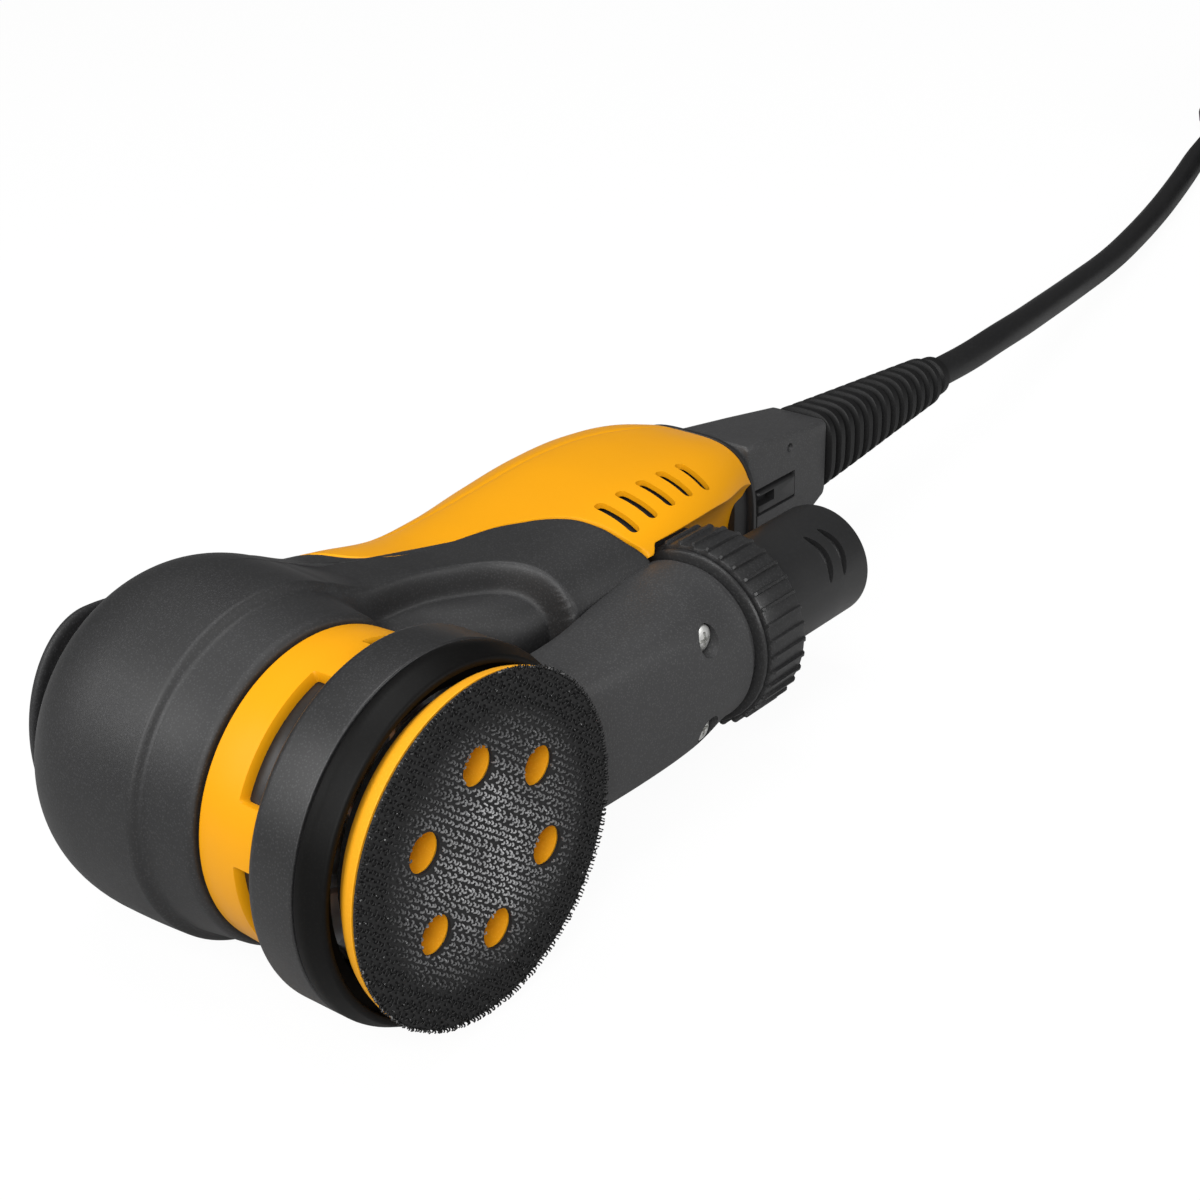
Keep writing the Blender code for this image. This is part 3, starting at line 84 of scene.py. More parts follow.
# Head of the grip
DOME_R = 41.2
DOME_MID = 78.0
DOME_TOP = 101.0
DOME_LOW = 46.6
DOME_EDGE_R = 36.2
STEP_Y = 61.3
PIVOT_Y = 102.6
CROWN_R = 26.0

# Handle: x, top, bottom, half width; the first row lies inside the head
HANDLE = np.array((
    (0.0, 99.8, 47.8, 32.0), (24.0, 99.0, 47.0, 32.0), (42.0, 97.0, 42.0, 30.0),
    (58.0, 95.0, 33.0, 28.0), (76.0, 95.5, 31.0, 28.0), (96.0, 98.0, 30.0, 29.0),
    (116.0, 99.5, 31.0, 30.0), (136.0, 99.0, 36.0, 29.5), (152.0, 95.5, 42.0, 27.5),
    (162.0, 90.0, 46.5, 25.0)))
HANDLE_SQUARE = 3.4
HANDLE_END = 162.0
GRIP_EDGE = np.array((
    (36.0, 110.0), (38.0, 83.0), (44.0, 72.0), (50.0, 68.5), (62.0, 66.5), (74.0, 64.0),
    (84.0, 59.0), (91.0, 52.0), (93.7, 44.2), (95.9, 36.7), (98.5, 33.5), (100.0, 31.0), (100.0, 0.0)))
COVER_EDGE = np.array((
    (37.8, 85.8), (46.0, 85.2), (62.0, 84.0), (88.0, 83.2), (112.0, 83.2), (134.0, 80.6),
    (150.0, 75.5), (168.0, 68.5)))
HOLLOW_X = (34.0, 71.0)
HOLLOW_Y = (59.5, 20.0)
HOLLOW_DEPTH = 7.5
HOLLOW_ROLL = 6.0
SKIN = 2.8
SHELL_SKIN = 1.5
LIP_FROM = 99.0

# Tail
TAIL_Y = 25.0
DUCT = np.array((
    (34.0, 31.0, 7.5, 18.5, 4.0), (60.0, 32.5, 6.0, 18.5, 4.0), (82.0, 39.0, 4.8, 19.5, 3.0),
    (96.5, 45.7, 4.3, 20.7, 2.0), (103.0, 45.7, 4.3, 20.7, 2.0)))
COLLAR_X = 103.3
COLLAR_R = 22.2
COLLAR_RIBS = 36
SPIGOT_R = 14.9
SPIGOT_END = 161.0

# Lead, in world metres
CORD_D = 0.0090
CORD_ROUTE = (
    (0.1929, 0.0058, 0.0242), (0.2154, 0.0079, 0.0216), (0.2427, 0.0118, 0.0180),
    (0.2759, 0.0171, 0.0134), (0.3161, 0.0235, 0.0087), (0.3633, 0.0320, 0.0060),
    (0.4063, 0.0413, 0.0045), (0.4463, 0.0503, 0.0045), (0.4843, 0.0575, 0.0045))
COIL_CENTRE = (0.5223, -0.0043)
COIL_TURNS = 10.5
COIL_LAYERS = 4
COIL_MEAN_R = 0.0540
COIL_STEP = 0.0096
COIL_LIFT = 0.0018
COIL_RISE = 0.5
PLUG_Z = 0.0183
TAIL_ROUTE = (
    (0.4663, -0.0712, 0.0300), (0.4403, -0.0722, 0.0215), (0.4163, -0.0737, PLUG_Z),
    (0.3963, -0.0747, PLUG_Z), (0.3763, -0.0757, PLUG_Z))

# Connector: x, top, bottom, half width, middle; and the strain relief behind it
CONNECTOR = np.array((
    (164.6, 74.5, 50.5, 21.8, 1.7), (184.6, 72.0, 50.5, 16.3, 5.2), (204.3, 69.5, 51.0, 10.9, 8.4)))
RELIEF_X = (204.6, 277.6)
RELIEF_Y = 60.0
RELIEF_Z = (8.6, 9.2)

# Camera, found from the photo in the machine's place
CAMERA_AT = (-0.378315, -0.307037, 0.300117)
CAMERA_RIGHT = (0.613966, -0.78675, -0.063798)
CAMERA_DOWN = (-0.420476, -0.257586, -0.869971)
CAMERA_FORWARD = (0.668016, 0.560958, -0.488959)
LENS = 66.0


class SanderLook(bpy.types.PropertyGroup):
    """Colours, grain and light that a user would change."""

    yellow: FloatVectorProperty(name="Yellow", description="Handle and motor ring", size=3,
                                subtype="COLOR", default=(0.71, 0.300, 0.003), min=0.0, max=1.0)
    overmould: FloatVectorProperty(name="Overmould", description="Soft grip", size=3,
                                   subtype="COLOR", default=(0.0125, 0.0125, 0.0130), min=0.0, max=1.0)
    black: FloatVectorProperty(name="Black", description="Hard black plastic", size=3,
                               subtype="COLOR", default=(0.0150, 0.0150, 0.0154), min=0.0, max=1.0)
    foam: FloatVectorProperty(name="Foam", description="Edge of the pad", size=3,
                              subtype="COLOR", default=(0.76, 0.33, 0.004), min=0.0, max=1.0)
    grain: FloatProperty(name="Grain", description="Depth of the moulded grain", default=0.35,
                         min=0.0, max=1.0, subtype="FACTOR")
    hook_pitch: FloatProperty(name="Hook pitch", description="Spacing of the pad's hooks",
                              default=0.00138, min=0.0006, max=0.004, subtype="DISTANCE",
                              unit="LENGTH")
    hook_seed: IntProperty(name="Hook seed", description="Choice of the hooks' small turns",
                           default=7, min=0)
    key_power: FloatProperty(name="Key light", description="Power of the large soft light",
                             default=17.0, min=0.0, unit="POWER")
    top_power: FloatProperty(name="Top light", description="Power of the soft light overhead",
                             default=9.0, min=0.0, unit="POWER")
    room: FloatProperty(name="Room light", description="Strength of the even room light",
                        default=0.09, min=0.0)


def look():
    return bpy.context.scene.sander_look


# Shapes


def to_world(points):
    """World metres of machine millimetres: place + x X + y Y + z Z."""
    return PLACE + MM * np.asarray(points, float) @ AXES


def ease(t):
    """Smooth step 3 t^2 - 2 t^3 held to 0 and 1."""
    t = np.clip(t, 0.0, 1.0)
    return t * t * (3.0 - 2.0 * t)


def through(x, knots, values):
    """Cubic Hermite curve through the knots, with slopes from their neighbours."""
    knots = np.asarray(knots, float)
    values = np.asarray(values, float)
    slope = np.gradient(values, knots)
    x = np.clip(x, knots[0], knots[-1])
    i = np.clip(np.searchsorted(knots, x, side="right") - 1, 0, len(knots) - 2)
    step = knots[i + 1] - knots[i]
    t = (x - knots[i]) / step
    return ((1 + 2 * t) * (1 - t) ** 2 * values[i] + t * (1 - t) ** 2 * step * slope[i]
            + t * t * (3 - 2 * t) * values[i + 1] + t * t * (t - 1) * step * slope[i + 1])


def soft_max(a, b, reach):
    """Larger of two, eased where they are within reach: max + (1 - |a-b|/k)^2 k/4."""
    near = np.clip(1.0 - np.abs(a - b) / reach, 0.0, 1.0)
    return np.maximum(a, b) + near * near * reach / 4


def rounded(corners, radii, steps=6, closed=True):
    """Outline whose corners C become (1-t)^2 A + 2t(1-t) C + t^2 B between points on their sides."""
    c = np.asarray(corners, float)
    radii = np.broadcast_to(np.asarray(radii, float), len(c)).copy()
    back = np.roll(c, 1, axis=0) - c
    ahead = np.roll(c, -1, axis=0) - c
    if not closed:
        radii[[0, -1]] = 0.0
    back_len = np.linalg.norm(back, axis=1)
    ahead_len = np.linalg.norm(ahead, axis=1)
    cut = np.minimum(radii, 0.48 * np.minimum(back_len, ahead_len))
    a = (c + back * (cut / back_len)[:, None])[:, None]
    b = (c + ahead * (cut / ahead_len)[:, None])[:, None]
    t = np.linspace(0.0, 1.0, steps)[None, :, None]
    return ((1 - t) ** 2 * a + 2 * t * (1 - t) * c[:, None] + t * t * b).reshape(-1, c.shape[1])


def resampled(outline, count):
    """Closed outline read at even steps of its length."""
    loop = np.vstack((outline, outline[:1]))
    along = np.concatenate(([0.0], np.cumsum(np.linalg.norm(np.diff(loop, axis=0), axis=1))))
    marks = np.linspace(0.0, along[-1], count, endpoint=False)
    return np.stack([np.interp(marks, along, column) for column in loop.T], axis=1)


def inset(outline, distance):
    """Closed outline moved inwards along its normals, the run turned by a quarter."""
    run = np.roll(outline, -1, axis=0) - np.roll(outline, 1, axis=0)
    run /= np.linalg.norm(run, axis=1)[:, None]
    return outline + distance * np.stack((-run[:, 1], run[:, 0]), axis=1)


def grid_faces(rows, cols, wrap_rows=False, wrap_cols=False):
    """Quads between neighbouring rows and columns of a grid of points."""
    r = np.arange(rows if wrap_rows else rows - 1)
    c = np.arange(cols if wrap_cols else cols - 1)
    r, c = (a.ravel() for a in np.meshgrid(r, c, indexing="ij"))
    down = (r + 1) % rows
    across = (c + 1) % cols
    return np.stack((r * cols + c, r * cols + across, down * cols + across, down * cols + c), axis=1)


def patch(points, wrap_rows=False, wrap_cols=False):
    """Grid of points (rows, columns, 3) with its faces."""
    points = np.asarray(points, float)
    rows, cols = points.shape[:2]
    return points.reshape(-1, 3), grid_faces(rows, cols, wrap_rows, wrap_cols)


def turned(profile, steps=160, closed=True, centre_x=0.0):
    """Profile (radius, height) round the motor axis: x = c + r cos a, z = r sin a."""
    profile = np.asarray(profile, float)
    a = np.arange(steps)[:, None] * TURN / steps
    x = centre_x + np.cos(a) * profile[:, 0]
    z = np.sin(a) * profile[:, 0]
    return patch(np.stack((x, np.broadcast_to(profile[:, 1], x.shape), z), axis=-1), True, closed)


def on_tail(piece):
    """Patch turned about the motor axis laid along the tail axis: height becomes x."""
    points, faces = piece
    return np.stack((points[:, 1], TAIL_Y + points[:, 0], points[:, 2]), axis=1), faces


def capped(rings):
    """Rings (rows, points, 3) closed at both ends by fans to their middles."""
    rings = np.asarray(rings, float)
    first = np.broadcast_to(rings[0].mean(axis=0), rings[0].shape)
    last = np.broadcast_to(rings[-1].mean(axis=0), rings[-1].shape)
    return patch(np.concatenate((first[None], rings, last[None])), False, True)


def walled(outer, inner):
    """Closed body between two like grids: both skins and the strips along their four edges."""
    edges = [np.stack((outer[0], inner[0])), np.stack((outer[-1], inner[-1])),
             np.stack((outer[:, 0], inner[:, 0])), np.stack((outer[:, -1], inner[:, -1]))]
    return [patch(grid) for grid in (outer, inner, *edges)]


def rod(radius, start, end, steps=32, end_radius=None):
    """Closed cylinder between two points: ends + r (cos a U + sin a V)."""
    start, end = np.asarray(start, float), np.asarray(end, float)
    run = Vector(end - start).normalized()
    side = np.array(run.orthogonal().normalized())
    other = np.cross(np.array(run), side)
    a = np.arange(steps)[:, None] * TURN / steps
    ring = np.cos(a) * side + np.sin(a) * other
    second = radius if end_radius is None else end_radius
    return capped(np.stack((start + radius * ring, end + second * ring)))


def box(low, high):
    """Closed box between two corners, as two rings of four points."""
    (x0, y0, z0), (x1, y1, z1) = low, high
    ring = np.array(((y0, z0), (y1, z0), (y1, z1), (y0, z1)))
    near = np.column_stack((np.full(4, x0), ring))
    far = np.column_stack((np.full(4, x1), ring))
    return capped(np.stack((near, far)))


def mesh_of(name, patches, sharp=40.0, world=False):
    """One mesh of several patches, like points merged, faces turned out, edges by angle."""
    points, faces, start = [], [], 0
    for verts, quads in patches:
        points.append(verts)
        faces.append(quads + start)
        start += len(verts)
    points = np.concatenate(points)
    mesh = bpy.data.meshes.new(name)
    mesh.from_pydata((points if world else to_world(points)).tolist(), [],
                     np.concatenate(faces).tolist())
    bm = bmesh.new()
    bm.from_mesh(mesh)
    bmesh.ops.remove_doubles(bm, verts=bm.verts[:], dist=0.000004)
    bmesh.ops.dissolve_degenerate(bm, edges=bm.edges[:], dist=0.0000005)
    bmesh.ops.recalc_face_normals(bm, faces=bm.faces[:])
    bm.to_mesh(mesh)
    bm.free()
    mesh.shade_smooth()
    mesh.set_sharp_from_angle(angle=np.radians(sharp))
    return mesh


def carved(mesh, *cutters, operation="DIFFERENCE", sharp=40.0):
    """Mesh with closed cutters, each a list of patches, taken from it or joined to it."""
    scene = bpy.context.scene.collection
    base = bpy.data.objects.new("carving", mesh)
    scene.objects.link(base)
    others = []
    for patches in cutters:
        other = bpy.data.objects.new("cutter", mesh_of("cutter", patches))
        scene.objects.link(other)
        modifier = base.modifiers.new("cut", "BOOLEAN")
        modifier.object = other
        modifier.operation = operation
        modifier.solver = "EXACT"
        others.append(other)
    bpy.context.view_layer.update()
    evaluated = base.evaluated_get(bpy.context.evaluated_depsgraph_get())
    result = bpy.data.meshes.new_from_object(evaluated)
    for obj in (base, *others):
        data = obj.data
        bpy.data.objects.remove(obj, do_unlink=True)
        bpy.data.meshes.remove(data)
    if not result.polygons:
        raise RuntimeError("a cut left nothing")
    result.shade_smooth()
    result.set_sharp_from_angle(angle=np.radians(sharp))
    return result


def add_piece(name, mesh, finish, body, slot, *nodes):
    """Piece at the origin that rides on a body and stands for CAD nodes."""
    mesh.name = name
    mesh.materials.clear()
    mesh.materials.append(finish)
    obj = bpy.data.objects.new(name, mesh)
    bpy.context.scene.collection.objects.link(obj)
    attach(obj, body)
    if nodes:
        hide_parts(*nodes)
    return obj


# Handle and head, as distances from a centre line that runs back through both


def handle_centre(x):
    return through(x, HANDLE[:, 0], (HANDLE[:, 1] + HANDLE[:, 2]) / 2)


def neck_radius(x, turn):
    """Handle section (|cos/a|^n + |sin/b|^n)^(-1/n), with a and b read along the handle."""
    tall = through(x, HANDLE[:, 0], (HANDLE[:, 1] - HANDLE[:, 2]) / 2)
    wide = through(x, HANDLE[:, 0], HANDLE[:, 3])
    n = HANDLE_SQUARE
    return ((np.abs(np.cos(turn)) / tall) ** n + (np.abs(np.sin(turn)) / wide) ** n) ** (-1.0 / n)


def dome_side(y):
    """Head's radius at a height: rounded shoulder, side with a soft step, tapered collar and rim."""
    up = np.clip((y - DOME_MID) / (DOME_TOP - DOME_MID), 0.0, 1.0)
    shoulder = CROWN_R + (DOME_R - CROWN_R) * (1.0 - up ** 2.2) ** (1.0 / 2.2)
    side = DOME_R - 0.6 * ((DOME_MID - y) / (DOME_MID - STEP_Y)) ** 2
    collar = DOME_EDGE_R + 0.6 + 1.9 * np.clip((y - DOME_LOW) / (STEP_Y - DOME_LOW), 0.0, 1.0)
    rim = np.clip(1.0 - (y - DOME_LOW) / 1.4, 0.0, 1.0)
    lower = collar + (side - collar) * ease((y - STEP_Y + 2.0) / 2.0) - 0.9 * rim * rim
    return np.where(y > DOME_MID, shoulder, lower)


def dome_radius(x, turn):
    """Distance to the head's skin in the plane x, found by halving along each direction."""
    centre = handle_centre(x)
    low = np.zeros(np.broadcast(x, turn).shape)
    high = low + 64.0
    for _ in range(30):
        mid = (low + high) / 2
        y = centre + mid * np.cos(turn)
        inside = ((np.hypot(x, mid * np.sin(turn)) < dome_side(y)) & (y < DOME_TOP)
                  & (y > DOME_LOW))
        low = np.where(inside, mid, low)
        high = np.where(inside, high, mid)
    return low


def hollow_edge(x):
    """Height of the finger hollow's edge: low + (high - low) (1 - t^2.2)^(1/4) along x."""
    t = np.clip((x - HOLLOW_X[0]) / (HOLLOW_X[1] - HOLLOW_X[0]), 0.0, 1.0)
    return HOLLOW_Y[1] + (HOLLOW_Y[0] - HOLLOW_Y[1]) * (1.0 - t ** 2.2) ** 0.25


def grip_radius(x, turn):
    """Head and neck run together, with the finger hollow sunk below its curved edge."""
    neck = neck_radius(x, turn) * ease(x / 22.0)
    radius = soft_max(dome_radius(x, turn), neck, 6.0)
    y = handle_centre(x) + radius * np.cos(turn)
    before, edge, after = (hollow_edge(x + d) for d in (-1.5, 0.0, 1.5))
    below = (edge - y) / np.sqrt(1.0 + ((after - before) / 3.0) ** 2)
    return radius - HOLLOW_DEPTH * ease(below / HOLLOW_ROLL) * ease((x - 16.0) / 18.0)


def grip_end(y):
    """Where the grip stops along x at a height."""
    return through(y, GRIP_EDGE[::-1, 1], GRIP_EDGE[::-1, 0])


def section_point(x, turn, radius):
    return np.stack((x + 0.0 * radius, handle_centre(x) + radius * np.cos(turn), radius * np.sin(turn)), axis=-1)


def first_x(height_at, columns):
    """x at which lines of a known height y(x) meet the grip's end, by halving."""
    low = np.full((1, columns), 30.0)
    high = np.full((1, columns), 102.0)
    for _ in range(24):
        mid = (low + high) / 2
        before = mid < grip_end(height_at(mid))
        low = np.where(before, mid, low)
        high = np.where(before, high, mid)
    return low


def skin_height(x, turn):
    """Height of the handle's skin in a direction."""
    return handle_centre(x) + neck_radius(x, turn) * np.cos(turn)


def turn_at_height(x, height):
    """Direction in which the handle's skin has a height at x, by halving."""
    low = np.zeros_like(x)
    high = low + np.pi
    for _ in range(24):
        mid = (low + high) / 2
        above = skin_height(x, mid) > height
        low = np.where(above, mid, low)
        high = np.where(above, high, mid)
    return low


def cover_height(x):
    """Height of the cover's lower edge."""
    return through(x, COVER_EDGE[:, 0], COVER_EDGE[:, 1])


def cover_turn(x):
    """Direction of the cover's lower edge at x."""
    return turn_at_height(x, cover_height(x))


def tail_room(x):
    """Radius left free round the tail, wider past the collar."""
    return 22.0 + 2.4 * ease((x - 100.4) / 2.8) + 2.6 * ease((x - 138.0) / 24.0)


def lip_turn(x):
    """Direction in which the handle's skin meets the room round the tail, by halving."""
    low = cover_turn(x)
    high = np.full_like(low, np.pi)
    for _ in range(24):
        mid = (low + high) / 2
        radius = neck_radius(x, mid)
        out = np.hypot(handle_centre(x) + radius * np.cos(mid) - TAIL_Y, radius * np.sin(mid)) > tail_room(x)
        low = np.where(out, mid, low)
        high = np.where(out, high, mid)
    return low


def side_z(x, y):
    """Half width of the handle's skin at a place on its side: b (1 - |(y - m)/a|^n)^(1/n)."""
    tall = through(x, HANDLE[:, 0], (HANDLE[:, 1] - HANDLE[:, 2]) / 2)
    wide = through(x, HANDLE[:, 0], HANDLE[:, 3])
    off = np.clip(np.abs(y - handle_centre(x)) / tall, 0.0, 0.98)
    return wide * (1.0 - off ** HANDLE_SQUARE) ** (1.0 / HANDLE_SQUARE)


def rolled(distance, size):
    """Drop of a rounded edge at a distance from it: size (1 - sqrt(1 - (1 - d/size)^2))."""
    near = np.clip(1.0 - distance / size, 0.0, 1.0)
    return size * (1.0 - np.sqrt(1.0 - near * near))


# Finishes


def shader_group(name, inputs, outputs):
    """Empty shader node group with its sockets, and its two end nodes."""
    group = bpy.data.node_groups.new(name, "ShaderNodeTree")
    for label, kind, default in inputs:
        socket = group.interface.new_socket(name=label, in_out="INPUT", socket_type="NodeSocket" + kind)
        if default is not None:
            socket.default_value = default
    for label, kind in outputs:
        group.interface.new_socket(name=label, in_out="OUTPUT", socket_type="NodeSocket" + kind)
    return group, group.nodes.new("NodeGroupInput"), group.nodes.new("NodeGroupOutput")


def node(tree, kind, values=(), **settings):
    made = tree.nodes.new("ShaderNode" + kind)
    for key, value in settings.items():
        setattr(made, key, value)
    for key, value in dict(values).items():
        made.inputs[key].default_value = value
    return made


def math_node(tree, operation, first, second):
    made = node(tree, "Math", operation=operation)
    for i, value in enumerate((first, second)):
        if isinstance(value, (int, float)):
            made.inputs[i].default_value = value
        else:
            tree.links.new(value, made.inputs[i])
    return made.outputs[0]


def remap(tree, value, low, high, to_low, to_high):
    made = node(tree, "MapRange", {"From Min": low, "From Max": high, "To Min": to_low, "To Max": to_high})
    tree.links.new(value, made.inputs["Value"])
    return made.outputs["Result"]


def grain_group():
    """Moulded grain: fine bumps, pale specks and slow patches of a handled surface."""
    group, start, end = shader_group(
        "moulded_grain", (("Vector", "Vector", None), ("Scale", "Float", 2600.0)),
        (("Height", "Float"), ("Speck", "Float"), ("Patch", "Float")))
    fine = node(group, "TexNoise", {"Detail": 2.0, "Roughness": 0.6})
    specks = node(group, "TexVoronoi", feature="F1")
    slow = node(group, "TexNoise", {"Scale": 28.0, "Detail": 4.0, "Roughness": 0.55})
    for texture in (fine, specks, slow):
        group.links.new(start.outputs["Vector"], texture.inputs["Vector"])
    for texture in (fine, specks):
        group.links.new(start.outputs["Scale"], texture.inputs["Scale"])
    group.links.new(fine.outputs[0], end.inputs["Height"])
    group.links.new(remap(group, specks.outputs["Distance"], 0.12, 0.42, 1.0, 0.0), end.inputs["Speck"])
    group.links.new(remap(group, slow.outputs[0], 0.35, 0.68, 0.0, 1.0), end.inputs["Patch"])
    return group


def brushed_group():
    """Machined metal: streaks across one axis and slow patches."""
    group, start, end = shader_group(
        "machined_streaks", (("Vector", "Vector", None), ("Stretch", "Vector", (60.0, 2500.0, 60.0))),
        (("Height", "Float"), ("Patch", "Float")))
    stretch = node(group, "VectorMath", operation="MULTIPLY")
    group.links.new(start.outputs["Vector"], stretch.inputs[0])
    group.links.new(start.outputs["Stretch"], stretch.inputs[1])
    streak = node(group, "TexNoise", {"Scale": 1.0, "Detail": 3.0, "Roughness": 0.6})
    slow = node(group, "TexNoise", {"Scale": 90.0, "Detail": 3.0})
    group.links.new(stretch.outputs[0], streak.inputs["Vector"])
    group.links.new(start.outputs["Vector"], slow.inputs["Vector"])
    group.links.new(streak.outputs[0], end.inputs["Height"])
    group.links.new(remap(group, slow.outputs[0], 0.3, 0.7, 0.0, 1.0), end.inputs["Patch"])
    return group


class Finishes:
    """Materials made once and shared by the pieces."""

    def __init__(self):
        self.made = {}
        self.groups = {}

    def group(self, maker):
        if maker not in self.groups:
            self.groups[maker] = maker()
        return self.groups[maker]

    def tree(self, name):
        material = bpy.data.materials.new(name)
        material.use_nodes = True
        tree = material.node_tree
        return material, tree, tree.nodes["Principled BSDF"], node(tree, "TexCoord").outputs["Object"]

    def grained(self, name, maker, coordinates, tree, **values):
        """Group node on the object's coordinates."""
        made = node(tree, "Group", node_tree=self.group(maker))
        for key, value in values.items():
            made.inputs[key].default_value = value
        tree.links.new(coordinates, made.inputs["Vector"])
        return made

    def plastic(self, name, colour, pale, roughness, scale=2600.0, bump=0.35, coat=0.0, spread=0.08,
                specular=0.5, sheen=0.0):
        """Moulded plastic or rubber: grain bump, pale specks, roughness in slow patches."""
        if name in self.made:
            return self.made[name]
        material, tree, shader, coordinates = self.tree(name)
        grain = self.grained(name, grain_group, coordinates, tree, Scale=scale)
        mix = node(tree, "Mix", data_type="RGBA")
        mix.inputs[6].default_value = (*colour, 1.0)
        mix.inputs[7].default_value = (*pale, 1.0)
        tree.links.new(grain.outputs["Speck"], mix.inputs[0])
        tree.links.new(mix.outputs[2], shader.inputs["Base Color"])
        rough = remap(tree, grain.outputs["Patch"], 0.0, 1.0, roughness - spread, roughness + spread)
        tree.links.new(rough, shader.inputs["Roughness"])
        relief = node(tree, "Bump", {"Strength": bump, "Distance": 0.0001})
        tree.links.new(grain.outputs["Height"], relief.inputs["Height"])
        tree.links.new(relief.outputs[0], shader.inputs["Normal"])
        shader.inputs["Coat Weight"].default_value = coat
        shader.inputs["Specular IOR Level"].default_value = specular
        shader.inputs["Sheen Weight"].default_value = sheen
        self.made[name] = material
        return material

    def sheen_and_wear(self, name, middle, colour, pale, roughness):
        """Nylon painted paler about a middle, as painted sheen and wear: mask = (1 - d/r) times slow patches."""
        material = self.plastic(name, colour, tuple(2.5 * c for c in colour), roughness, 1400.0, 0.2, 0.0, 0.06)
        tree = material.node_tree
        shader = tree.nodes["Principled BSDF"]
        place = next(n for n in tree.nodes if n.type == "TEX_COORD").outputs["Object"]
        far = node(tree, "VectorMath", operation="DISTANCE")
        tree.links.new(place, far.inputs[0])
        far.inputs[1].default_value = tuple(middle)
        # Painted sheen and wear: the hooks turn paler towards the pad's middle.
        mask = remap(tree, far.outputs["Value"], 0.008, 0.031, 1.0, 0.0)
        slow = node(tree, "TexNoise", {"Scale": 55.0, "Detail": 3.0, "Roughness": 0.6})
        tree.links.new(place, slow.inputs["Vector"])
        mask = math_node(tree, "MULTIPLY", mask, remap(tree, slow.outputs[0], 0.3, 0.7, 0.25, 1.0))
        mix = node(tree, "Mix", data_type="RGBA")
        tree.links.new(mask, mix.inputs[0])
        tree.links.new(shader.inputs["Base Color"].links[0].from_socket, mix.inputs[6])
        mix.inputs[7].default_value = (*pale, 1.0)
        tree.links.new(mix.outputs[2], shader.inputs["Base Color"])
        return material

    def metal(self, name, colour, roughness, stretch=(60.0, 2500.0, 60.0), bump=0.12):
        """Machined metal: streak bump and roughness in slow patches."""
        if name in self.made:
            return self.made[name]
        material, tree, shader, coordinates = self.tree(name)
        streaks = self.grained(name, brushed_group, coordinates, tree, Stretch=stretch)
        shader.inputs["Metallic"].default_value = 1.0
        mix = node(tree, "Mix", data_type="RGBA")
        mix.inputs[6].default_value = (*colour, 1.0)
        mix.inputs[7].default_value = (*(0.72 * c for c in colour), 1.0)
        tree.links.new(streaks.outputs["Patch"], mix.inputs[0])
        tree.links.new(mix.outputs[2], shader.inputs["Base Color"])
        rough = remap(tree, streaks.outputs["Patch"], 0.0, 1.0, roughness - 0.06, roughness + 0.1)
        tree.links.new(rough, shader.inputs["Roughness"])
        relief = node(tree, "Bump", {"Strength": bump, "Distance": 0.0001})
        tree.links.new(streaks.outputs["Height"], relief.inputs["Height"])
        tree.links.new(relief.outputs[0], shader.inputs["Normal"])
        self.made[name] = material
        return material

    def banded(self, name, first, second, scale, kind="BANDS", metallic=1.0, roughness=0.4):
        """Thin lines of two tones along the motor axis or round it: steel sheets, wire, tracks."""
        if name in self.made:
            return self.made[name]
        material, tree, shader, coordinates = self.tree(name)
        wave = node(tree, "TexWave", {"Scale": scale, "Distortion": 0.6, "Detail": 1.0},
                    wave_type=kind, bands_direction="Y", rings_direction="Y")
        tree.links.new(coordinates, wave.inputs["Vector"])
        mix = node(tree, "Mix", data_type="RGBA")
        mix.inputs[6].default_value = (*first, 1.0)
        mix.inputs[7].default_value = (*second, 1.0)
        tree.links.new(wave.outputs["Fac"], mix.inputs[0])
        tree.links.new(mix.outputs[2], shader.inputs["Base Color"])
        relief = node(tree, "Bump", {"Strength": 0.4, "Distance": 0.0002})
        tree.links.new(wave.outputs["Fac"], relief.inputs["Height"])
        tree.links.new(relief.outputs[0], shader.inputs["Normal"])
        shader.inputs["Metallic"].default_value = metallic
        shader.inputs["Roughness"].default_value = roughness
        self.made[name] = material
        return material

    def overmould(self):
        tone = tuple(look().overmould)
        return self.plastic("soft_overmould", tone, tuple(2.3 * c for c in tone), 0.56, 1700.0,
                            look().grain, 0.0, 0.06, 0.5)

    def black(self):
        tone = tuple(look().black)
        return self.plastic("black_plastic", tone, tuple(2.2 * c for c in tone), 0.44, 1700.0,
                            0.7 * look().grain, 0.0, 0.07, 0.44)

    def hard_grey(self):
        """Paler hard plastic of the duct and the connector."""
        return self.plastic("hard_grey_plastic", (0.034, 0.034, 0.0348), (0.060, 0.060, 0.0612), 0.5, 1700.0,
                            0.8 * look().grain, 0.0, 0.07, 0.36)

    def smooth_black(self):
        tone = tuple(look().black)
        return self.plastic("smooth_black_plastic", tone, tuple(1.2 * c for c in tone), 0.38, 900.0,
                            0.1 * look().grain, 0.0, 0.06, 0.36)

    def yellow(self):
        tone = tuple(look().yellow)
        return self.plastic("yellow_plastic", tone, (tone[0], 1.03 * tone[1], 1.6 * tone[2]), 0.42,
                            3200.0, 0.14 * look().grain, 0.0, 0.06, 0.18)

    def rubber(self):
        return self.plastic("black_rubber", (0.0045, 0.0045, 0.0047), (0.008, 0.008, 0.0084), 0.52, 1500.0,
                            0.3 * look().grain, 0.0, 0.06, 0.26)

    def steel(self):
        return self.metal("zinc_steel", (0.62, 0.61, 0.58), 0.3)

    def aluminium(self):
        return self.metal("cast_aluminium", (0.66, 0.67, 0.68), 0.42)


FINISHES = Finishes()


class PieceOperator:
    """Shared settings of the operators that make pieces."""

    bl_options = {"REGISTER", "UNDO"}

    def execute(self, context):
        self.make()
        return {"FINISHED"}


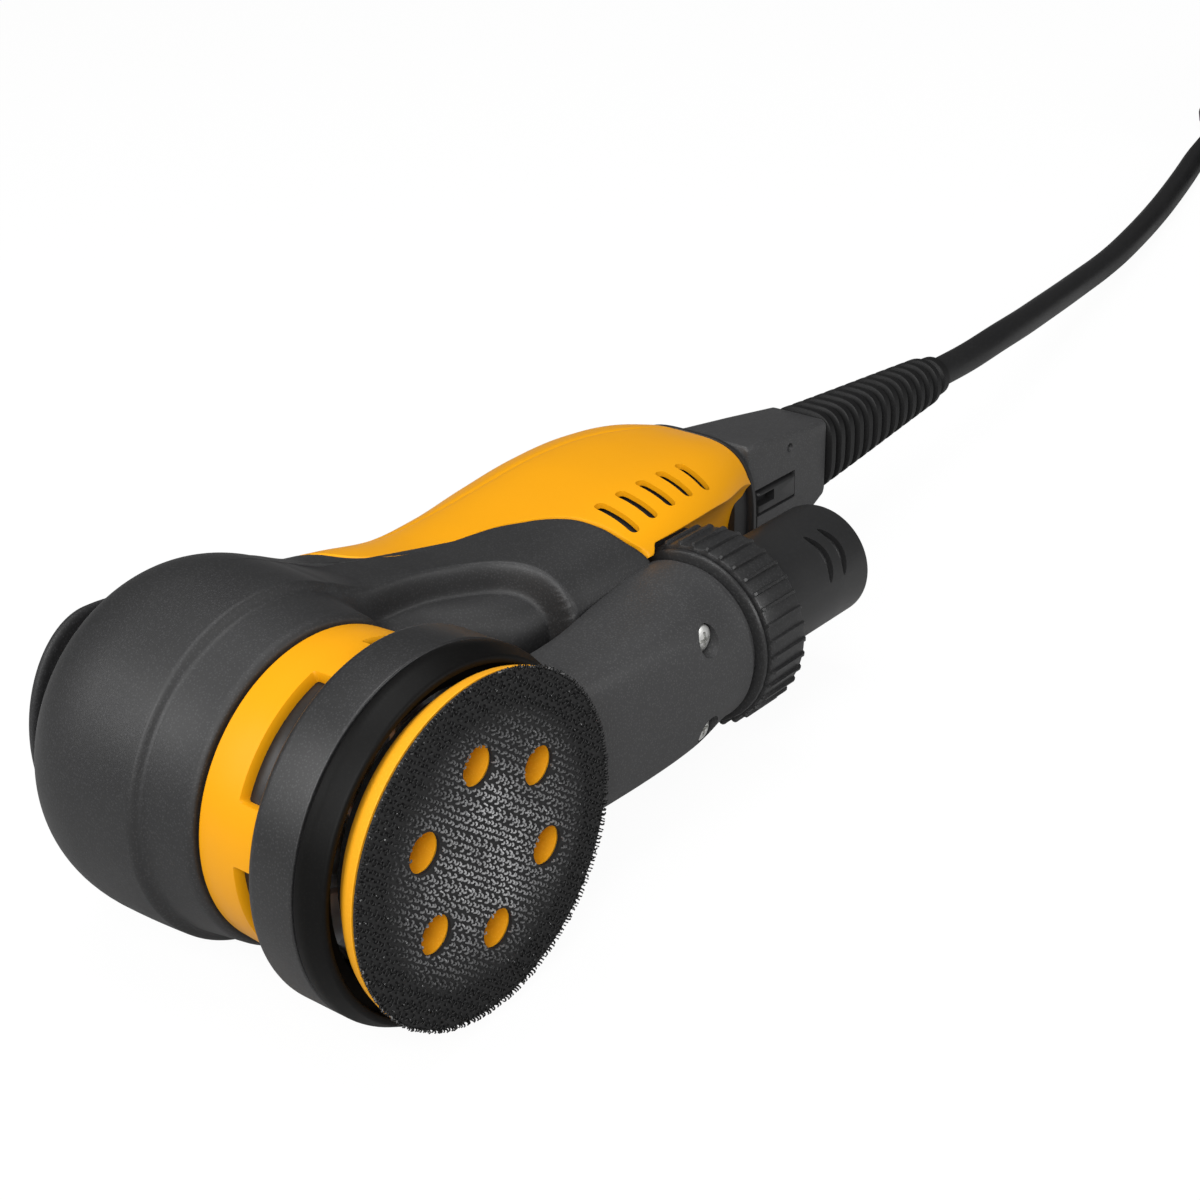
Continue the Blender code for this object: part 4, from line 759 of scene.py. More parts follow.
class SANDER_OT_pad(PieceOperator, bpy.types.Operator):
    """Hook field, foam and plate of the pad"""

    bl_idname = "sander.pad"
    bl_label = "Pad"

    def make(self):
        holes = [[rod(HOLE_R, (PAD_X + HOLE_CIRCLE * np.cos(a), -4.0, HOLE_CIRCLE * np.sin(a)),
                      (PAD_X + HOLE_CIRCLE * np.cos(a), 16.0, HOLE_CIRCLE * np.sin(a)), 48)]
                 for a in HOLE_TURN + np.arange(HOLES) * TURN / HOLES]
        base = rounded(((0.0, 1.5), (PAD_R - 0.2, 1.5), (PAD_R - 0.1, 0.7), (0.0, 0.7)), 0.3, 4, False)
        backing = carved(mesh_of("hook_backing", [turned(base, 128, False, PAD_X)]), *holes)
        # Hooks painted paler towards the pad's middle: painted sheen and wear.
        nylon = FINISHES.sheen_and_wear("hook_nylon", to_world((PAD_X, 0.0, 0.0)), (0.007, 0.007, 0.0073),
                              (0.52, 0.52, 0.528), 0.24)
        fabric = FINISHES.plastic("hook_backing", (0.004, 0.004, 0.0042), (0.010, 0.010, 0.0104), 0.85,
                                  1300.0, 0.6, 0.0, 0.05)
        add_piece("hook_backing", backing, fabric, "pad", "hook_fabric", "hook_face")
        add_piece("hook_field", mesh_of("hook_field", [self.hooks()], 60.0), nylon, "pad", "hook_fabric")
        profile = rounded(((0.0, 9.3), (33.7, 9.3), (37.4, 5.2), (38.4, 1.8), (0.0, 1.8)), (0, 1.0, 3.4, 0.3, 0), 14,
                          False)
        soft = FINISHES.plastic("yellow_foam", tuple(look().foam), (0.80, 0.38, 0.015), 0.66, 1700.0,
                                0.25, 0.0, 0.05, 0.35)
        foam = carved(mesh_of("pad_foam", [turned(profile, 160, False, PAD_X)]), *holes)
        add_piece("foam_cushion", foam, soft, "pad", "pad_foam", "pad_foam")

    def hooks(self):
        """Bent stalks in staggered rows: ring points p(s) + w (cos q N + sin q B) along a small J.

        Rows run at a slant; each stalk stands on the backing, bends over its own direction and
        ends in a drooping tip.
        """
        pitch = look().hook_pitch / MM
        draw = np.random.default_rng(look().hook_seed)
        count = int(2 * PAD_R / pitch) + 2
        i, j = np.meshgrid(np.arange(-count, count), np.arange(-count, count), indexing="ij")
        slant = np.radians(52.0)
        u = (i + 0.5 * (j % 2)) * pitch
        v = j * pitch * 0.9
        x = u * np.cos(slant) - v * np.sin(slant)
        z = u * np.sin(slant) + v * np.cos(slant)
        x, z = x.ravel(), z.ravel()
        keep = np.hypot(x, z) < PAD_R - 0.5
        turns = HOLE_TURN + np.arange(HOLES) * TURN / HOLES
        gaps = np.hypot(x[:, None] - HOLE_CIRCLE * np.cos(turns), z[:, None] - HOLE_CIRCLE * np.sin(turns))
        keep &= gaps.min(axis=1) > HOLE_R + 0.1
        x, z = x[keep], z[keep]
        rim = np.arange(300) * TURN / 300
        x = np.concatenate((x, (PAD_R - 0.25) * np.cos(rim)))
        z = np.concatenate((z, (PAD_R - 0.25) * np.sin(rim)))
        total = len(x)
        x = x + draw.uniform(-0.16, 0.16, total)
        z = z + draw.uniform(-0.16, 0.16, total)
        lean = slant + np.where(np.arange(total) % 2, 0.0, np.pi) + draw.normal(0.0, 0.5, total)
        lean[-len(rim):] = rim + draw.normal(0.0, 0.4, len(rim))
        tall = draw.uniform(0.8, 1.12, total)
        path = np.array(((0.0, 0.0), (0.02, 0.45), (0.12, 0.78), (0.36, 0.92), (0.60, 0.80), (0.64, 0.62)))
        run = np.gradient(path, axis=0)
        run /= np.linalg.norm(run, axis=1)[:, None]
        wide = np.array((0.26, 0.22, 0.21, 0.20, 0.17, 0.10))
        q = np.arange(4) * TURN / 4 + TURN / 8
        along = path[:, :1] - run[:, 1:] * wide[:, None] * np.cos(q)
        up = path[:, 1:] + run[:, :1] * wide[:, None] * np.cos(q)
        side = wide[:, None] * np.sin(q)
        cos, sin = np.cos(lean)[:, None, None], np.sin(lean)[:, None, None]
        px = PAD_X + x[:, None, None] + along * cos - side * sin
        pz = z[:, None, None] + along * sin + side * cos
        py = 1.0 - up * tall[:, None, None] * 0.95
        points = np.stack((px, np.broadcast_to(py, px.shape), pz), axis=-1)
        faces = grid_faces(len(path), 4, False, True)
        caps = np.array(((0, 1, 2, 3), (23, 22, 21, 20)))
        faces = np.concatenate((faces, caps))
        every = faces[None] + (np.arange(total) * 24)[:, None, None]
        return points.reshape(-1, 3), every.reshape(-1, 4)


class SANDER_OT_shroud(PieceOperator, bpy.types.Operator):
    """Brake skirt, band and the notched motor ring"""

    bl_idname = "sander.shroud"
    bl_label = "Shroud and ring"

    def make(self):
        inner = SHROUD_R - SHROUD_T
        skirt = rounded(((SHROUD_R, SEAM_Y - 0.1), (SHROUD_R, 11.2), (39.3, 6.8), (37.6, 6.8), (inner, 10.5),
                         (33.5, 10.7), (33.5, 11.3), (inner, 11.3), (inner, SEAM_Y - 0.1)),
                        (0.5, 3.4, 0.8, 0.7, 0.6, 0.2, 0.2, 0.2, 0.2), 8)
        # The skirt's rubber is darker than the other rubber: its own dark tone with painted shade, as it faces away
        # from the light.
        soft = FINISHES.plastic("skirt_rubber", (0.0022, 0.0021, 0.0020), (0.004, 0.0038, 0.0036), 0.5, 1500.0, 0.1,
                                0.0, 0.06, 0.12)
        add_piece("skirt_rubber", mesh_of("skirt", [turned(skirt)]), soft, "housing", "rubber", "brake_skirt")
        band = rounded(((14.5, BAND_TOP), (38.4, BAND_TOP), (SHROUD_R, 25.6), (SHROUD_R, SEAM_Y + 0.4),
                        (inner, SEAM_Y + 0.4), (inner, 25.0), (14.5, 25.0)),
                       (0.2, 1.4, 1.4, 0.6, 0.2, 0.4, 0.2), 6)
        add_piece("band_shell", mesh_of("band", [turned(band)]), FINISHES.black(), "housing",
                  "black_plastic", "shroud_band")
        low = BAND_TOP + 0.3
        ring = rounded(((RING_R - 0.3, RING_TOP), (RING_R, 40.0), (RING_R + 0.2, low), (RING_R - 2.4, low),
                        (RING_R - 2.4, 43.0), (30.8, 43.0), (30.8, RING_TOP)), 0.5, 5)
        cutters = [self.window(WINDOW_TURN + k * TURN / WINDOWS, low) for k in range(WINDOWS)]
        add_piece("ring_shell", carved(mesh_of("ring", [turned(ring, 200)]), *cutters), FINISHES.yellow(),
                  "housing", "yellow_plastic", "motor_ring")
        # Thin dark ring just inside the windows: painted shade inside the motor ring.
        ring_shade_band = ((33.15, low), (33.15, 42.8), (32.98, 42.8), (32.98, low))
        add_piece("ring_shade_sheet", mesh_of("ring_shade_band", [turned(ring_shade_band, 96)]), FINISHES.smooth_black(), "housing",
                  "black_plastic")

    def window(self, middle, low):
        """Notch that widens outwards: (angle, height) outline scaled by radius about its middle."""
        half, high = 24.5, 35.2
        outline = rounded(((-half, low - 4.0), (half, low - 4.0), (half, high), (-half, high)),
                          (0, 0, 0.8, 0.8), 6)
        outline = resampled(outline, 160)
        layers = []
        for radius, spread, lift in ((31.0, 0.0, 0.0), (34.9, 0.0, 0.0), (35.9, 0.7, 0.6), (38.5, 2.8, 2.4)):
            a = middle + np.radians(outline[:, 0] + spread * np.sign(outline[:, 0]))
            y = outline[:, 1] + lift * (outline[:, 1] > low)
            layers.append(np.stack((radius * np.cos(a), y, radius * np.sin(a)), axis=1))
        return [capped(np.stack(layers))]


class SANDER_OT_grip(PieceOperator, bpy.types.Operator):
    """Domed head and neck in soft black"""

    bl_idname = "sander.grip"
    bl_label = "Grip"

    def make(self):
        """Half turn of the head's profile in front; behind, skin r(x, turn) back to the grip's end."""
        share = np.concatenate((np.linspace(0.0, 0.40, 20), np.linspace(0.41, 0.95, 92), (0.965, 0.975, 0.983, 0.99, 0.996, 1.0)))
        below = np.concatenate(((0.008, 0.016), np.linspace(0.026, 0.6, 44), np.linspace(0.64, 1.0, 8)))
        fan = np.linspace(TURN / 4, 3 * TURN / 4, 73)[:, None]
        first = self.turns(np.zeros(1), share, below)[0]
        radius = dome_radius(np.zeros_like(first), first)
        reach = radius * np.sin(first)
        front = np.stack((reach * np.cos(fan), handle_centre(0.0) + radius * np.cos(first) + 0.0 * fan,
                          reach * np.sin(fan)), axis=-1)

        def height_at(x):
            turn = self.turns(x, share, below)
            return handle_centre(x) + grip_radius(x, turn) * np.cos(turn)

        end = first_x(height_at, len(first))
        u = np.linspace(0.0, 1.0, 170)[:, None]
        x = u * end
        turn = self.turns(x, share, below)
        radius = grip_radius(x, turn) - rolled(end - x, 0.9)
        skin = section_point(x, turn, radius)
        inner = [section_point(x[-1:], turn[-1:], radius[-1:] * scale) for scale in (0.92, 0.5, 0.0)]
        left = np.concatenate((skin, *inner))
        right = left * (1.0, 1.0, -1.0)
        add_piece("grip_skin", mesh_of("grip", [patch(front), patch(left), patch(right)], 55.0),
                  FINISHES.overmould(), "housing", "overmould", "grip_shell")

    def turns(self, x, share, below):
        """Directions from the top, in step with the head's rim: s split, then on to half a turn."""
        rim = np.sqrt(np.maximum((DOME_EDGE_R - 0.3) ** 2 - np.minimum(x, 16.0) ** 2, 1.0))
        split = np.arctan2(rim, DOME_LOW - handle_centre(np.minimum(x, 16.0)))
        if x.ndim == 1:
            upper, lower = share[None] * split[:, None], split[:, None] + (np.pi - split[:, None]) * below
            return np.concatenate((upper, lower), axis=1)
        upper = share * split[:, :len(share)]
        lower = split[:, len(share):] + (np.pi - split[:, len(share):]) * below
        return np.concatenate((upper, lower), axis=1)


class SANDER_OT_handle(PieceOperator, bpy.types.Operator):
    """Yellow cover and vented shell of the handle"""

    bl_idname = "sander.handle"
    bl_label = "Handle"

    def make(self):
        u = np.linspace(0.0, 1.0, 150)[:, None]
        v = np.linspace(-1.0, 1.0, 71)[None, :]
        cover = self.skin(u, lambda x: v * cover_turn(x), self.cover_edge)
        mesh = mesh_of("cover", walled(*cover))
        wells = [[rod(r + 0.35, (x, 80.0, 0.0), (x, 110.0, 0.0), 40)]
                 for x, r in ((76.0, 5.5), (92.0, 4.5), (105.5, 4.5), (118.0, 1.6))]
        mesh = carved(mesh, *wells)
        mesh = carved(mesh, self.ear(1.0), self.ear(-1.0), operation="UNION")
        mesh = carved(mesh, [rod(2.1, (52.0, PIVOT_Y, -16.0), (52.0, PIVOT_Y, 16.0), 24)])
        add_piece("cover_skin", mesh, FINISHES.yellow(), "housing", "yellow_plastic", "handle_cover")
        mesh = mesh_of("shell", walled(*self.shell(u)))
        vents = [self.vent(k, side) for side in (1.0, -1.0) for k in range(5)]
        mesh = carved(mesh, *vents)
        add_piece("shell_skin", mesh, FINISHES.yellow(), "housing", "yellow_plastic", "handle_shell")
        # Dark sheets just inside the vents: painted shade inside the handle.
        add_piece("vent_shade_sheet", mesh_of("vent_shade_skin", self.vent_shade_skin(1.0) + self.vent_shade_skin(-1.0)), FINISHES.smooth_black(),
                  "housing", "black_plastic")

    def skin(self, u, turn_at, edge_drop):
        """Outer and inner grids r(x, turn) and r - wall between the grip's end and the handle's."""
        columns = turn_at(np.full((1, 1), 60.0)).shape[1]
        start = first_x(lambda x: skin_height(x, turn_at(x)), columns) + 0.3
        x = start + u * (HANDLE_END - start)
        turn = turn_at(x)
        radius = neck_radius(x, turn)
        drop = rolled(x - start, 0.8) + rolled(HANDLE_END - x, 1.6) + edge_drop(x, turn, radius)
        outer = section_point(x, turn, radius - drop)
        inner = section_point(x, turn, radius - SKIN)
        return outer, inner

    def cover_edge(self, x, turn, radius):
        return rolled((cover_turn(x) - np.abs(turn)) * radius, 0.3)

    def shell(self, u):
        """Outer and inner grids: down the side to the lip, then round the room left for the tail.

        The side is r(x, turn); the room is y = t + R cos q, z = R sin q.  The wall thins to nothing
        at the lip, whose edge is eased by averaging neighbouring columns.
        """
        share = np.concatenate((np.linspace(0.0, 0.955, 70), np.linspace(0.96, 1.0, 15)))[None, :]
        under = np.concatenate((np.linspace(1.0, 0.92, 12), np.linspace(0.9, 0.0, 26)))[None, :]

        def lip_at(x):
            return lip_turn(np.maximum(x, LIP_FROM))

        def lean_at(x):
            return self.lip_lean(np.maximum(x, LIP_FROM)) * under

        high = cover_height(first_x(cover_height, 1))[0, 0]
        low = (lambda x: skin_height(x, lip_at(x)))(first_x(lambda x: skin_height(x, lip_at(x)), 1))[0, 0]
        y = np.linspace(high, low, 600)
        edge = np.stack((grip_end(y) + 0.3, y), axis=1)
        along = np.concatenate(([0.0], np.cumsum(np.linalg.norm(np.diff(edge, axis=0), axis=1))))
        start, height = (np.interp(share * along[-1], along, edge[:, k]) for k in (0, 1))
        x = start + u * (HANDLE_END - start)
        top = cover_turn(start)
        first = (turn_at_height(start, height) - top) / (lip_at(start) - top)
        first = np.clip(first + share * (1.0 - first[:, -1:]), 0.0, 1.0)
        top = cover_turn(x)
        turn = top + (lip_at(x) - top) * (first + (share - first) * u)
        start_under = first_x(lambda x: TAIL_Y + tail_room(x) * np.cos(lean_at(x)), under.shape[1]) + 0.3
        xu = start_under + u * (HANDLE_END - start_under)
        radius = neck_radius(x, turn)
        clear = np.hypot(handle_centre(x) + radius * np.cos(turn) - TAIL_Y, radius * np.sin(turn)) - tail_room(x)
        wall = np.minimum(SHELL_SKIN, 0.05 + 0.45 * np.maximum(clear, 0.0))
        drop = rolled(x - start, 0.8) + rolled(HANDLE_END - x, 1.6) + rolled((turn - top) * radius, 0.3)
        outer = section_point(x, turn, radius - np.minimum(drop, 0.6 * wall))
        inner = section_point(x, turn, radius - wall)
        q = lean_at(xu)
        room = tail_room(xu)
        y, z = TAIL_Y + room * np.cos(q), room * np.sin(q)
        aim = np.arctan2(z, y - handle_centre(xu))
        spare = neck_radius(xu, aim) - np.hypot(y - handle_centre(xu), z)
        wall = np.minimum(SHELL_SKIN, 0.05 + 0.45 * np.maximum(spare, 0.0))
        drop = np.minimum(rolled(HANDLE_END - xu, 1.6), 0.6 * wall)
        outer = np.concatenate((outer, self.round_tail(xu, q, room + drop)), axis=1)
        inner = np.concatenate((inner, self.round_tail(xu, q, room + wall)), axis=1)
        lip = share.shape[1]
        inner[:, lip - 12:lip + 10] = (inner[:, lip - 13:lip - 12] + inner[:, lip + 10:lip + 11]) / 2
        near = slice(lip - 8, lip + 8)
        for _ in range(5):
            eased = (np.roll(outer, 1, axis=1) + 2.0 * outer + np.roll(outer, -1, axis=1)) / 4
            outer[:, near] = eased[:, near]
        return [np.concatenate((grid, grid[:, -2::-1] * (1.0, 1.0, -1.0)), axis=1) for grid in (outer, inner)]

    def lip_lean(self, x):
        """Lean of the lip about the tail axis."""
        turn = lip_turn(x)
        radius = neck_radius(x, turn)
        return np.arctan2(radius * np.sin(turn), handle_centre(x) + radius * np.cos(turn) - TAIL_Y)

    def round_tail(self, x, lean, radius):
        return np.stack((x, TAIL_Y + radius * np.cos(lean), radius * np.sin(lean)), axis=-1)

    def vent(self, index, side):
        """Slot cutter: a rounded outline leaning on the side, sunk through the skin z(x, y)."""
        lean = np.radians(2.5)
        half = 6.4 - 0.37 * index
        outline = resampled(rounded(((-1.7, -half), (1.7, -half), (1.7, half), (-1.7, half)), 1.6, 7), 80)
        across, length = outline.T
        x = 100.6 + index * 8.2 + across * np.cos(lean) + length * np.sin(lean)
        y = 51.0 - half - across * np.sin(lean) + length * np.cos(lean)
        z = side_z(x, y)
        rows = [np.stack((x, y, side * (z + depth)), axis=-1) for depth in (-2.1, 0.0, 5.0)]
        return [capped(np.stack(rows))]

    def vent_shade_skin(self, side):
        """Painted shade: dark skin z(x, y) - gap just inside the vents of one side, standing in for the shade inside
        the handle.
        """
        x = np.linspace(98.0, 137.0, 50)[:, None]
        low = 1.8 + skin_height(x, lip_turn(np.maximum(x, LIP_FROM)))
        y = low + (51.8 - low) * np.linspace(0.0, 1.0, 30)
        depths = (SHELL_SKIN + 0.7, SHELL_SKIN + 1.0)
        skins = [np.stack((x + 0.0 * y, y, side * (side_z(x, y) - d)), axis=-1) for d in depths]
        return walled(*skins)

    def ear(self, side):
        """Lug for the lever's pin: rounded outline drawn out along z."""
        a = np.linspace(0.0, np.pi, 17)
        arc = np.stack((52.0 + 4.8 * np.cos(a), PIVOT_Y + 4.8 * np.sin(a)), axis=1)
        outline = np.concatenate((arc, ((46.6, 93.6), (57.4, 93.6))))
        middle = outline.mean(axis=0)
        rows = []
        for z, scale in ((10.5, 0.93), (10.9, 1.0), (12.9, 1.0), (13.3, 0.93)):
            flat = middle + (outline - middle) * scale
            rows.append(np.column_stack((flat, np.full(len(flat), side * z))))
        return [capped(np.stack(rows))]


class SANDER_OT_lever(PieceOperator, bpy.types.Operator):
    """Palm lever over the head"""

    bl_idname = "sander.lever"
    bl_label = "Lever"

    def make(self):
        """Rounded plate: an oval x = c + (back or front) cos a, z = half sin a, with a tongue."""
        a = np.linspace(0.0, TURN / 4, 40)
        back = np.stack((-9.3 + 33.0 * np.cos(a), 8.0 + 19.8 * np.sin(a)), axis=1)
        front = np.stack((-9.3 - 19.0 * np.sin(a), 27.8 * np.cos(a)), axis=1)
        tip = np.stack((47.4 + 4.6 * np.cos(a), 4.6 * np.sin(a)), axis=1)
        side = np.concatenate((tip, back, front))
        outline = resampled(np.concatenate((side, side[::-1] * (1.0, -1.0))), 280)
        rows = []
        for drawn, y in ((1.8, 106.0), (0.5, 106.15), (0.05, 106.6), (0.0, 107.2), (0.25, 107.9), (0.9, 108.35),
                         (2.2, 108.6)):
            flat = inset(outline, drawn)
            rows.append(np.stack((flat[:, 0], np.full(len(flat), y), flat[:, 1]), axis=1))
        mesh = mesh_of("lever_plate", [capped(np.stack(rows))], 50.0)
        knuckle = rod(4.2, (52.0, PIVOT_Y, -5.0), (52.0, PIVOT_Y, 5.0), 40)
        mesh = carved(mesh, [knuckle], operation="UNION")
        mesh = carved(mesh, [rod(2.1, (52.0, PIVOT_Y, -8.0), (52.0, PIVOT_Y, 8.0), 24)])
        add_piece("palm_lever", mesh, FINISHES.overmould(), "lever", "black_plastic", "lever")


class SANDER_OT_buttons(PieceOperator, bpy.types.Operator):
    """Push buttons and status light on top of the handle"""

    bl_idname = "sander.buttons"
    bl_label = "Buttons"

    def make(self):
        """Turned caps with a dished top and a rounded rim."""
        for name, x, radius in (("power_button", 76.0, 5.5), ("speed_up_button", 92.0, 4.5),
                                ("speed_down_button", 105.5, 4.5)):
            top = float(np.interp(x, HANDLE[:, 0], HANDLE[:, 1])) + 1.2
            profile = rounded(((0.0, top - 0.35), (radius - 1.6, top - 0.2), (radius - 0.5, top), (radius, top - 0.6),
                               (radius, top - 8.5), (0.0, top - 8.5)), 0.7, 5, False)
            add_piece(name + "_cap", mesh_of(name, [turned(profile, 64, False, x)]), FINISHES.smooth_black(),
                      name, "black_plastic", name)
        top = float(np.interp(118.0, HANDLE[:, 0], HANDLE[:, 1]))
        lens = rounded(((0.0, top + 0.35), (1.0, top + 0.25), (1.6, top - 0.2), (1.6, top - 5.2), (0.0, top - 5.2)),
                       0.4, 5, False)
        pipe = FINISHES.plastic("green_light_pipe", (0.10, 0.62, 0.18), (0.14, 0.70, 0.24), 0.2, 700.0, 0.02,
                                0.6, 0.04)
        add_piece("status_lens", mesh_of("lens", [turned(lens, 40, False, 118.0)]), pipe, "housing",
                  "light_pipe", "status_light")


class SANDER_OT_tail(PieceOperator, bpy.types.Operator):
    """Dust duct, screws, ribbed collar and spigot"""

    bl_idname = "sander.tail"
    bl_label = "Dust tail"

    def make(self):
        mesh = mesh_of("duct", [capped(self.duct())], 50.0)
        recesses = [[rod(3.75, (85.5, -3.0, z), (85.5, 10.0, z), 40)] for z in (11.5, -11.5)]
        add_piece("duct_shell", carved(mesh, *recesses, sharp=50.0), FINISHES.hard_grey(), "housing",
                  "black_plastic", "dust_duct")
        for name, z in (("duct_screw_left", 11.5), ("duct_screw_right", -11.5)):
            self.screw(name, z)
        add_piece("collar_ring", mesh_of("collar", [self.collar()], 28.0), FINISHES.black(), "collar",
                  "black_plastic", "collar_nut")
        tube = carved(mesh_of("spigot", [self.spigot()], 45.0), *(self.grip_slot(x) for x in (145.2, 151.4)))
        add_piece("spigot_tube", tube, FINISHES.smooth_black(), "spigot", "black_plastic", "dust_spigot")

    def duct(self):
        """Superellipse sections y = m + a c|c|^(2/n-1), z = b s|s|^(2/n-1) from the band to the neck."""
        t = np.arange(132) * TURN / 132
        c, s = np.cos(t), np.sin(t)
        bow = np.sqrt(36.1 ** 2 - (18.5 * np.abs(s) ** 0.5) ** 2)
        u = np.concatenate((np.linspace(0.0, 0.955, 70), np.linspace(0.958, 1.0, 14)))[:, None]
        x = bow + u * (103.0 - bow)
        top, bottom, half, n = (through(x, DUCT[:, 0], DUCT[:, k]) for k in (1, 2, 3, 4))
        shrink = 1.0 - 0.06 * ease((x - 100.6) / 0.5)
        y = (top + bottom) / 2 + (top - bottom) / 2 * shrink * np.sign(c) * np.abs(c) ** (2.0 / n)
        z = half * shrink * np.sign(s) * np.abs(s) ** (2.0 / n)
        return np.stack((x, y, z), axis=-1)

    def screw(self, name, z):
        """Pan head turned about its axis with a cross sunk in it, on a plain shank."""
        profile = rounded(((0.0, 7.55), (1.8, 7.7), (3.4, 8.5), (3.4, 9.7), (1.5, 9.7), (1.5, 15.0), (0.0, 15.0)),
                          (0, 0.8, 0.5, 0.2, 0.1, 0.3, 0), 5, False)
        points, faces = turned(profile, 48, False)
        mesh = mesh_of(name, [(points + (85.5, 0.0, z), faces)])
        zinc = FINISHES.metal("bright_zinc", (0.92, 0.92, 0.90), 0.44)
        arms = [[box((85.5 - a, 6.0, z - b), (85.5 + a, 8.9, z + b))] for a, b in ((2.0, 0.45), (0.45, 2.0))]
        add_piece(name + "_head", carved(mesh, *arms), zinc, "housing", "steel", name)

    def collar(self):
        """Ring about the tail axis with a lip and narrow ribs between panels: r(s) + 0.8 m(s) p(a)."""
        form = np.array(((0.0, 15.3, 0.0), (0.0, 21.4, 0.0), (0.3, 22.0, 0.0), (0.8, 22.2, 0.0), (1.0, 22.2, 0.0),
                         (1.1, 21.2, 0.0), (1.7, 21.2, 0.0), (1.8, 22.3, 0.0), (2.0, 22.8, 0.6), (2.6, 23.0, 1.0),
                         (8.0, 23.0, 1.0), (14.8, 23.0, 1.0), (15.5, 22.9, 0.6), (16.0, 22.5, 0.0), (16.4, 21.8, 0.0),
                         (16.5, 21.0, 0.0), (16.5, 15.3, 0.0)))
        step = np.array(((0.0, 0.0), (0.38, 0.0), (0.72, 0.0), (0.77, 1.0), (0.93, 1.0), (0.98, 0.0)))
        a = ((np.arange(COLLAR_RIBS)[:, None] + step[:, 0]) * TURN / COLLAR_RIBS).ravel()
        rib = np.tile(step[:, 1], COLLAR_RIBS)
        radius = form[:, 1] + 0.8 * form[:, 2] * rib[:, None]
        x = np.broadcast_to(COLLAR_X + form[:, 0], radius.shape)
        y = TAIL_Y + radius * np.cos(a)[:, None]
        z = radius * np.sin(a)[:, None]
        return patch(np.stack((x, y, z), axis=-1), True, True)

    def spigot(self):
        """Tube about the tail axis with a rounded end, turned from its profile."""
        profile = rounded(((12.7, 100.0), (17.6, 100.0), (17.6, 103.0), (SPIGOT_R, 103.0), (SPIGOT_R, SPIGOT_END),
                           (12.7, SPIGOT_END)), (0.1, 0.3, 0.3, 0.1, 1.5, 0.7), 8)
        return on_tail(turned(profile, 144))

    def grip_slot(self, x):
        """Crescent cutter on the spigot: x = m + w cos p + b sin^2 p and lean = l sin p at two radii."""
        p = np.arange(64) * TURN / 64
        lean = np.radians(140.0) + np.radians(27.0) * np.sin(p)
        along = x + 1.35 * np.cos(p) - 1.6 * np.sin(p) ** 2
        rows = [np.stack((along, TAIL_Y + r * np.cos(lean), r * np.sin(lean)), axis=1)
                for r in (SPIGOT_R - 1.5, SPIGOT_R + 1.2)]
        return [capped(np.stack(rows))]


